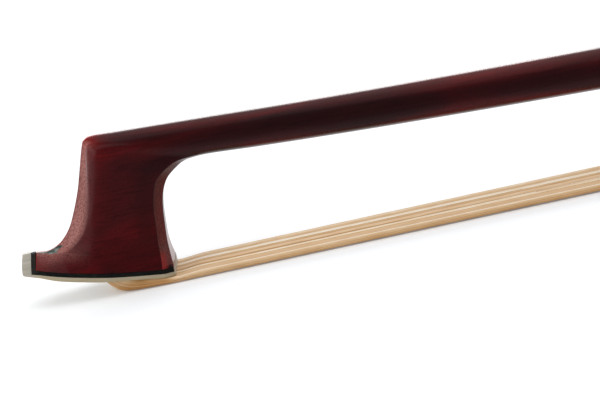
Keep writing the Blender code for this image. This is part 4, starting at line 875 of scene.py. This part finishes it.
def hair_spread(x, z):
    """Half-width of the hank: narrow in the head, spread by the wedge, narrow in the frog."""
    free = (x - HEEL_STATION) / (MOUTH - HEEL_STATION)
    heel, wide = HAIR_HEEL_WIDTH / 2, HAIR_FERRULE_WIDTH / 2
    share = np.clip((x - TIP_POCKET_START) / (HEEL_STATION - TIP_POCKET_START), 0.0, 1.0)
    fanned = heel - HAIR_FAN * (1 - share) ** 2
    inside = TIP_POCKET_WIDTH / 2 - RUNNING - 0.45
    rise = np.where(x < 16.0, np.clip((z - 2.2) / 0.6, 0.0, 1.0), 0.0)
    head = fanned + (inside - fanned) * rise
    run = heel + (wide - heel) * np.clip(free, 0.0, 1.0) ** 0.6
    behind = np.clip((x - MOUTH) / (FERRULE_LENGTH - 2.0), 0.0, 1.0)
    frog = wide + (HAIR_FROG_WIDTH / 2 - wide) * behind
    return np.where(free <= 0.0, head, np.where(free <= 1.0, run, frog))


def hank_places(rng):
    """Places of the hairs in the hank's section, as share of half-width and of half-thickness.

    The outer hairs follow a flat band, |v|^24 + |n|^6 = 1, and lie in tresses whose edges sink in
    a little; the inner ones show between them. Each tress has its own tone, and some hairs cross.
    The side walls are painted darker, more so towards the bottom, as shading, and the hairs along
    their top edge lighter, as a painted highlight.
    """
    t = np.linspace(-math.pi, math.pi, 6001)
    v = np.sign(np.cos(t)) * np.abs(np.cos(t)) ** (1 / 12)
    n = np.sign(np.sin(t)) * np.abs(np.sin(t)) ** (1 / 3)
    around = np.concatenate([[0.0], np.cumsum(np.hypot(np.diff(v) * 4.8, np.diff(n) * 1.1))])
    spots = np.linspace(0.0, around[-1], HAIRS_AROUND, endpoint=False)
    v_out, n_out = np.interp(spots, around, v), np.interp(spots, around, n)
    tress_ends = np.cumsum(rng.integers(2, 8, HAIRS_AROUND))
    tress = np.searchsorted(tress_ends, np.arange(HAIRS_AROUND), side="right")
    first = np.concatenate([[0], tress_ends])[tress]
    size = np.diff(np.concatenate([[0], tress_ends]))[tress]
    place = 2 * (np.arange(HAIRS_AROUND) - first + 0.5) / size - 1
    sunk = 1 - 0.22 * np.abs(place) ** 3 * (np.abs(v_out) < 0.96)
    v_in = rng.uniform(-0.92, 0.92, HAIRS_INSIDE)
    n_in = rng.uniform(0.45, 0.86, HAIRS_INSIDE)
    number = np.arange(tress.max() + 2)
    tones = 0.64 + 0.28 * np.sin(2.4 * number) + rng.normal(0, 0.10, len(number))
    tone = tones[tress] + rng.normal(0, 0.13, HAIRS_AROUND)
    # Painted shading: the side walls darker, more so towards the bottom; painted highlight: the
    # hairs along the top edge of the walls lighter.
    wall = smooth(0.965, 0.995, np.abs(v_out))
    tone = tone * (1 - wall) + wall * (0.42 + 0.12 * n_out + rng.normal(0, 0.06, HAIRS_AROUND))
    edge = hump(0.965, 0.03, np.abs(v_out)) * (n_out > 0)
    tone = np.clip(tone + 0.40 * edge, 0.0, 1.0)
    tone = np.concatenate([tone, np.clip(rng.normal(0.45, 0.25, HAIRS_INSIDE), 0.0, 1.0)])
    crossing = rng.random(HAIRS_AROUND + HAIRS_INSIDE) < 0.25
    drift = rng.normal(0, 1, len(tone)) * np.where(crossing, 0.10, 0.02)
    return np.concatenate([v_out, v_in]), np.concatenate([n_out * sunk, n_in]), tone, drift


def make_hair(strand_material, core_material):
    """The hank as 168 hairs round a flat core, each a six-sided tube along its own line."""
    low, high = hank_curves()
    rng = np.random.default_rng(11)
    v, n, tone, drift = hank_places(rng)
    x = (low[:, 0] + high[:, 0]) / 2
    wide = hair_spread(x, (low[:, 1] + high[:, 1]) / 2)
    gap = np.linalg.norm(high - low, axis=1)
    sway = band(28.0, 120.0, MOUTH - 60.0, MOUTH, x)[None, :]
    phase = rng.random(len(v))[:, None] * 6.3
    pace = rng.uniform(60.0, 200.0, len(v))[:, None]
    side = v[:, None] + drift[:, None] * sway * np.sin(x[None, :] / 90.0 + 9 * phase)
    side = np.clip(side + 0.008 * np.sin(x[None, :] / pace + phase) * sway, -1.0, 1.0)
    level = n[:, None] + 0.03 * np.sin(x[None, :] / (0.6 * pace) + 2 * phase) * sway
    inset = HAIR_RADIUS / gap[None, :]
    share = inset + (1 - 2 * inset) * (np.clip(level, -1.0, 1.0) + 1) / 2
    path = low[None] * (1 - share[..., None]) + high[None] * share[..., None]
    along = np.gradient(path, axis=1)
    along /= np.linalg.norm(along, axis=2, keepdims=True)
    normal = np.stack([-along[..., 1], along[..., 0]], axis=-1)
    y = side * (wide[None, :] - HAIR_RADIUS)
    sides = HAIR_SIDES
    a = (np.arange(sides) + 0.5) * 2 * math.pi / sides
    off_y, off_n = np.cos(a) * HAIR_RADIUS, np.sin(a) * HAIR_RADIUS
    tubes = np.stack([path[..., None, 0] + normal[..., None, 0] * off_n,
                      y[..., None] + off_y,
                      path[..., None, 1] + normal[..., None, 1] * off_n], axis=-1)
    count, rows = tubes.shape[:2]
    caps = np.array([np.arange(sides), (rows - 1) * sides + np.arange(sides)])
    blend = ("stick", "frog", to_metres(HEEL_STATION + HEEL_LEAD), to_metres(MOUTH))
    upper = (np.arange(count) < HAIRS_AROUND) & (n > 0.0)
    for name, chosen in (("hair_upper", upper), ("hair_lower", ~upper)):
        picked = tubes[chosen]
        shift = np.arange(len(picked))[:, None, None] * rows * sides
        faces = (quads(rows, sides)[None] + shift).reshape(-1, 4).tolist()
        faces += (caps[None] + shift).reshape(-1, sides).tolist()
        # Painted shading under the head: the upper hairs below the plate and the side walls darker;
        # in front of 15 mm the hairs are a little lighter.
        under = 0.45 * hump(15.5, 2.2, x) * smooth(0.3, 0.9, n[chosen][:, None])
        below_head = 0.28 * band(14.5, 17.0, 21.5, 23.5, x)
        below_head = below_head * (np.abs(v[chosen]) > 0.9)[:, None] - 0.10 * (x < 15.0)
        shown = np.clip(tone[chosen][:, None] - under - below_head, 0.0, 1.0)
        marks = {"tone": np.repeat(shown.ravel(), sides)}
        make_piece(name, picked.reshape(-1, 3), faces, strand_material, blend, ("hair_ribbon",),
                   marks)
    across = np.linspace(-1.0, 1.0, 25)
    belly = 0.5 * CORE_SHARE * (1 - 0.2 * across ** 8)
    sheets = []
    for share in (0.5 + belly[None, :, None], 0.5 - belly[None, :, None]):
        spots = low[:, None] * (1 - share) + high[:, None] * share
        sheets.append(np.stack([spots[..., 0], (wide[:, None] - CORE_INSET) * across,
                                spots[..., 1]], axis=-1))
    points, faces = skin(np.concatenate([sheets[0], sheets[1][:, ::-1]], axis=1))
    make_piece("hair_core", points, faces, core_material, blend, ("hair_ribbon",))


# Grip

LEATHER_EDGE, LEATHER_BODY = 0.28, 0.50     # thickness at the pared ends, and more between them


def make_lapping(material):
    """Silver wire wound tight: one tube along a helix that follows the flats of the handle."""
    inner = HANDLE_DIAMETER / 2 + FIT
    end = FROG_START - LEATHER_TO_FROG - LEATHER_LENGTH - GRIP_GAP
    turns = int((LAPPING_LENGTH - 2 * WIRE_RADIUS) / (2.04 * WIRE_RADIUS))
    pitch = (LAPPING_LENGTH - 2 * WIRE_RADIUS) / turns
    steps = 32
    t = np.arange(turns * steps + 1) / steps
    angle = math.pi + 2 * math.pi * t
    along = end - LAPPING_LENGTH + WIRE_RADIUS + pitch * t
    out = on_octagon(angle, inner + WIRE_RADIUS, HANDLE_CORNER)
    a = np.arange(5) * 2 * math.pi / 5
    radius = out[:, None] + WIRE_RADIUS * np.sin(a)
    rings = np.stack([along[:, None] + WIRE_RADIUS * np.cos(a), radius * np.sin(angle)[:, None],
                      radius * np.cos(angle)[:, None]], axis=-1)
    points, faces = skin(on_handle(rings))
    make_piece("lapping_wound", points, faces, material, "stick", ("lapping",))


def make_leather(material):
    """Leather glued round the handle: pared thin at both ends, with a butt seam below it."""
    inner = HANDLE_DIAMETER / 2 + FIT
    end = FROG_START - LEATHER_TO_FROG
    u = np.linspace(0.0, 1.0, 73)[:, None]
    angle = (np.arange(96) * 2 * math.pi / 96)[None, :]
    pared = band(0.0, 0.14, 0.86, 1.0, u)
    thick = LEATHER_EDGE + LEATHER_BODY * pared
    creases = (0.030 * np.sin(48 * u + 1.3 * np.sin(angle))
               + 0.015 * np.sin(131 * u + 2 * np.sin(2 * angle)))
    seam = hump(math.pi, 0.06, angle)
    outer = on_octagon(angle, inner + thick, 1.045) + pared * creases - 0.22 * seam * thick
    along = np.broadcast_to(end - LEATHER_LENGTH * (1 - u), outer.shape)
    under = np.broadcast_to(on_octagon(angle, inner, HANDLE_CORNER), outer.shape)
    walls = [np.stack([along, radius * np.sin(angle), radius * np.cos(angle)], axis=-1)
             for radius in (outer, under)]
    points, faces = hoop(on_handle(np.concatenate([walls[0], walls[1][::-1]])))
    make_piece("thumb_leather_pared", points, faces, material, "stick", ("thumb_leather",),
               sharp=50)


# Frog

def eased_copy(node, material, width):
    """A solid's own mesh, merged and joined into flat faces, with its edges eased by a bevel."""
    name = node + "_eased"
    mesh = frame["nodes"][node].data.copy()
    mesh.name = name
    work = bmesh.new()
    work.from_mesh(mesh)
    bmesh.ops.remove_doubles(work, verts=work.verts, dist=0.002 * MM)
    bmesh.ops.dissolve_limit(work, angle_limit=math.radians(0.5), verts=work.verts,
                             edges=work.edges)
    bmesh.ops.recalc_face_normals(work, faces=work.faces)
    work.to_mesh(mesh)
    work.free()
    mesh.shade_smooth()
    mesh.materials.clear()
    mesh.materials.append(material)
    piece = put_in_scene(name, mesh)
    eased_edges(piece, width, 35)
    level = piece.modifiers.new("flat_faces", "WEIGHTED_NORMAL")
    level.keep_sharp = True
    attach(piece, "frog")
    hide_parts(node)


def on_frog(points):
    """Points (along the frog, y, height) moved to the frog's place on the bow."""
    return np.asarray(points, dtype=float) + (MOUTH, 0.0, 0.0)


def make_ferrule(material):
    """D-shaped ring drawn from sheet: a flat below, short sides and half an ellipse above."""
    ease = 0.16
    corner = np.linspace(-math.pi / 2, 0.0, 6)
    arch = np.linspace(0.0, math.pi / 2, 25)
    rings = []
    for x, inset in ((ease, FERRULE_WALL), (0.0, FERRULE_WALL - ease), (0.0, ease), (ease, 0.0),
                     (2.0, 0.0), (FERRULE_LENGTH - ease, 0.0), (FERRULE_LENGTH, ease),
                     (FERRULE_LENGTH, FERRULE_WALL - ease), (FERRULE_LENGTH - ease, FERRULE_WALL)):
        wide, top, low = FERRULE_WIDTH / 2 - inset, FERRULE_HEIGHT - inset, inset
        turn = 0.5 - 0.4 * inset
        y = np.concatenate([[0.0, 0.45 * wide], wide - turn + turn * np.cos(corner),
                            wide * np.cos(arch)])
        z = np.concatenate([[low, low], low + turn + turn * np.sin(corner),
                            FERRULE_SIDE + (top - FERRULE_SIDE) * np.sin(arch)])
        half = np.column_stack([y, z])
        ring = np.vstack([half, half[-2:0:-1] * (-1.0, 1.0)])
        rings.append(np.column_stack([np.full(len(ring), x), ring]))
    points, faces = hoop(on_frog(rings))
    make_piece("ferrule_drawn", points, faces, material, "frog", ("ferrule",),
               sharp=40)


def make_eyes(ring_material, pearl_material):
    """On each side of the frog a domed pearl disc inside a ring with a rounded face."""
    floor = FROG_TOP_WIDTH / 2 - EYE_DEPTH + 0.1 + FIT
    face = floor + EYE_DEPTH - 0.05
    outer, disc = EYE_RING_DIAMETER / 2, EYE_DIAMETER / 2
    inner = outer - EYE_RING_WALL
    middle = (inner + outer) / 2
    ring = [(floor, inner), (face - 0.14, inner), (face - 0.04, inner + 0.07), (face, middle),
            (face - 0.04, outer - 0.07), (face - 0.14, outer), (floor, outer)]
    dome = [(face - 0.30 * (r / disc) ** 4, r) for r in np.linspace(NEAR_AXIS, disc - 0.06, 14)]
    pearl = [(floor, NEAR_AXIS), (floor, disc), (face - 0.42, disc)] + dome[::-1]
    for side, sign in (("left", 1.0), ("right", -1.0)):
        for kind, profile, material, slot in (("ring", ring, ring_material, "nickel_silver"),
                                              ("pearl", pearl, pearl_material, "pearl")):
            rings = lathe(profile, 64)
            placed = on_frog(np.stack([EYE_STATION + rings[..., 1], sign * rings[..., 0],
                                       EYE_HEIGHT + rings[..., 2]], axis=-1))
            points, faces = hoop(placed) if kind == "ring" else skin(placed)
            make_piece("eye_%s_%s_turned" % (kind, side), points, faces, material, "frog",
                       ("eye_%s_%s" % (kind, side),), sharp=40)


def make_button(core_material, metal_material, pearl_material):
    """Turned button: waisted core, a ring and a cap with turned grooves, pearl in the end."""
    start = HANDLE_LENGTH + RUNNING
    end = start + BUTTON_LENGTH
    outer = BUTTON_DIAMETER / 2
    inner = outer - BUTTON_BAND_WALL
    core, front, rear = inner - FIT, start + BUTTON_BAND, end - BUTTON_BAND
    bore = SCREW_DIAMETER / 2 - 0.1 + FIT
    bore_end = start + TANG_LENGTH + 0.2
    recess, recess_end = NIPPLE_DIAMETER / 2 + RUNNING, HANDLE_LENGTH + NIPPLE_LENGTH + RUNNING
    floor, seat, eye = end - 1.3, end - 0.9, BUTTON_PEARL / 2
    share = np.linspace(0.0, 1.0, 19)
    waist = outer - 0.06 - (outer - 0.06 - BUTTON_WAIST / 2) * np.sin(math.pi * share) ** 0.8
    body = [(bore_end, NEAR_AXIS), (bore_end, bore), (recess_end, bore), (recess_end, recess),
            (start, recess), (start, core), (front + FIT, core)]
    body += list(zip(front + FIT + share * (rear - front - 2 * FIT), waist))
    body += [(rear - FIT, core), (floor - FIT, core), (floor - FIT, NEAR_AXIS)]

    def grooved(low, high):
        """A cylinder's side from low to high with a rounded groove near each end."""
        along = np.linspace(low, high, 49)
        dip = sum(np.exp(-((along - place) / 0.13) ** 2) for place in (low + 0.75, high - 0.75))
        return list(zip(along, outer - 0.11 * dip))

    ring = [(start, inner), (start, outer - 0.35), (start + 0.12, outer - 0.12)]
    ring += grooved(start + 0.35, front - 0.2)
    ring += [(front - 0.06, outer - 0.05), (front, outer - 0.18), (front, inner)]
    cap = [(floor, NEAR_AXIS), (floor, inner), (rear, inner), (rear, outer - 0.18),
           (rear + 0.06, outer - 0.05)]
    cap += grooved(rear + 0.2, end - 0.6)
    cap += [(end - 0.5 + 0.5 * math.sin(a), outer - 0.5 + 0.5 * math.cos(a))
            for a in np.linspace(0.1, math.pi / 2, 8)]
    cap += [(end, eye + 0.22), (end - 0.06, eye + 0.1), (seat, eye + 0.1), (seat, NEAR_AXIS)]
    pearl = [(seat + FIT, NEAR_AXIS), (seat + FIT, eye), (end - 0.24, eye)]
    pearl += [(end - 0.02 - 0.16 * (r / eye) ** 4, r)
              for r in np.linspace(eye - 0.05, NEAR_AXIS, 12)]
    for name, node, profile, closed, material, slot in (
            ("button_waist", "button_core", body, False, core_material, "ebony"),
            ("button_ring_grooved", "button_front_ring", ring, True, metal_material,
             "nickel_silver"),
            ("button_cap_grooved", "button_rear_cap", cap, False, metal_material,
             "nickel_silver"),
            ("button_pearl_domed", "button_pearl", pearl, False, pearl_material, "pearl")):
        rings = on_handle(lathe(profile, 72))
        points, faces = hoop(rings) if closed else skin(rings)
        make_piece(name, points, faces, material, "screw", (node,), sharp=35)


# Table, light and camera, in metres

TABLE_REACH = 30.0
AZIMUTH, ELEVATION, ROLL = math.radians(6.45), math.radians(18.0), math.radians(14.2)
AIM = np.array([-0.328505, 0.005115, 0.005984])
DISTANCE, LENS, SENSOR = 2.40, 921.6, 36.0
HEAD_POINT, LIT_POINT = (-0.355, 0.0, 0.012), (-0.15, 0.0, 0.0)


def make_table():
    """White table that keeps the bow's soft shadow, and is plain white further away."""
    mesh = bpy.data.meshes.new("table_top")
    mesh.from_pydata([(x * TABLE_REACH, y * TABLE_REACH, 0.0)
                      for x, y in ((-1, -1), (1, -1), (1, 1), (-1, 1))], [], [(0, 1, 2, 3)])
    table = put_in_scene("table_top", mesh)
    material, tree, shader = new_material(
        "white_table", Roughness=0.9, Specular_IOR_Level=0.0, Base_Color=srgb("f8fafc"),
        Emission_Color=(1.0, 1.0, 1.0, 1.0))
    reach = add(tree, "VectorMath", {0: stretched(tree, (1.1, 1.9, 0.0))}, operation="LENGTH")
    light = add(tree, "MapRange", {"Value": reach.outputs["Value"], 1: 0.5, 2: 1.3, 3: 0.12,
                                   4: 1.0})
    glow = add(tree, "Math", {0: seen_straight(tree), 1: light.outputs[0]}, operation="MULTIPLY")
    connect(tree, shader, {"Emission Strength": glow.outputs[0]})
    mesh.materials.append(material)


def make_world(level):
    """Even pale surroundings of a level of light, white to the camera and in reflections."""
    world = bpy.data.worlds.new("studio")
    bpy.context.scene.world = world
    world.use_nodes = True
    tree = world.node_tree
    strength = add(tree, "MapRange", {"Value": seen_straight(tree), 3: level, 4: 1.0})
    connect(tree, tree.nodes["Background"], {"Color": (1.0, 1.0, 1.0, 1.0),
                                             "Strength": strength.outputs[0]})


def make_lamp(name, place, aim, size, power):
    """A softbox lamp at a place, turned to a point, with its width, height and power in watts."""
    data = bpy.data.lights.new(name, "AREA")
    data.shape = "RECTANGLE"
    data.size, data.size_y = size
    data.energy = power
    lamp = put_in_scene(name, data)
    lamp.location = place
    back = np.array(place, dtype=float) - np.array(aim, dtype=float)
    back /= np.linalg.norm(back)
    right = np.cross((0.0, 0.0, 1.0), back)
    right /= np.linalg.norm(right)
    turn = Matrix(np.column_stack([right, np.cross(back, right), back]).tolist())
    lamp.rotation_euler = turn.to_euler()


def make_camera():
    """Long lens from the front, a little above, rolled so that the stick rises to the right."""
    a, e, r = AZIMUTH, ELEVATION, ROLL
    right = np.array([math.cos(a), math.sin(a), 0.0])
    up = np.array([-math.sin(a) * math.sin(e), math.cos(a) * math.sin(e), math.cos(e)])
    back = np.array([math.sin(a) * math.cos(e), -math.cos(a) * math.cos(e), math.sin(e)])
    image_x = right * math.cos(r) - up * math.sin(r)
    image_y = right * math.sin(r) + up * math.cos(r)
    data = bpy.data.cameras.new("camera")
    data.lens, data.sensor_width = LENS, SENSOR
    data.clip_start, data.clip_end = 0.02, 60.0
    camera = put_in_scene("camera", data)
    turn = Matrix(np.column_stack([image_x, image_y, back]).tolist()).to_4x4()
    camera.matrix_world = Matrix.Translation(AIM + back * DISTANCE) @ turn
    bpy.context.scene.camera = camera


make_camera()
make_world(0.48)
make_table()
make_lamp("top_softbox", (-0.15, 0.06, 0.90), LIT_POINT, (1.6, 1.2), 6.1)
make_lamp("rear_softbox", (-0.15, 1.00, 0.28), LIT_POINT, (2.0, 0.3), 8.0)
make_lamp("left_softbox", (-1.05, -0.30, 0.30), HEAD_POINT, (0.5, 0.5), 2.0)

wood, black, fibre, bone = polished_wood(), ebony(), black_liner(), ivory()
nickel = metal("polished_nickel_silver", "d8d6d0", "b9b5ab", 0.24, (60, 900, 900))
wire = metal("drawn_silver_wire", "c2bfb8", "8b8780", 0.22, (900, 900, 900))
brass = metal("turned_brass", "c9a45c", "a98442", 0.30, (900, 200, 200))
steel = metal("turned_steel", "a4a4a6", "84847f", 0.34, (900, 200, 200))
pearl, leather, maple = mother_of_pearl(), grip_leather(), plain_maple()
bound_hair = horsehair("thread_bound_horsehair", None)
strands = horsehair("bleached_horsehair", "tone")

make_stick(wood)
make_head_sheets(fibre, bone)
make_hair(strands, bound_hair)
make_lapping(wire)
make_leather(leather)
make_ferrule(nickel)
make_eyes(nickel, pearl)
make_button(black, nickel, pearl)
for node, material, width in (("frog_body", black, 0.35), ("heel_plate", nickel, 0.18),
                              ("pearl_slide", pearl, 0.12)):
    eased_copy(node, material, width)

FINISH = {"red_wood": wood, "ebony": black, "ivory": bone, "horsehair": bound_hair,
          "nickel_silver": nickel, "pearl": pearl, "brass": brass, "steel": steel,
          "silver_wire": wire, "grip_leather": leather, "maple": maple}
for part in frame["record"]["subparts"]:
    node = frame["nodes"][part["node"]]
    node.data.materials.clear()
    node.data.materials.append(FINISH[part["material_slot"]])

bpy.context.scene.view_settings.view_transform = "Standard"
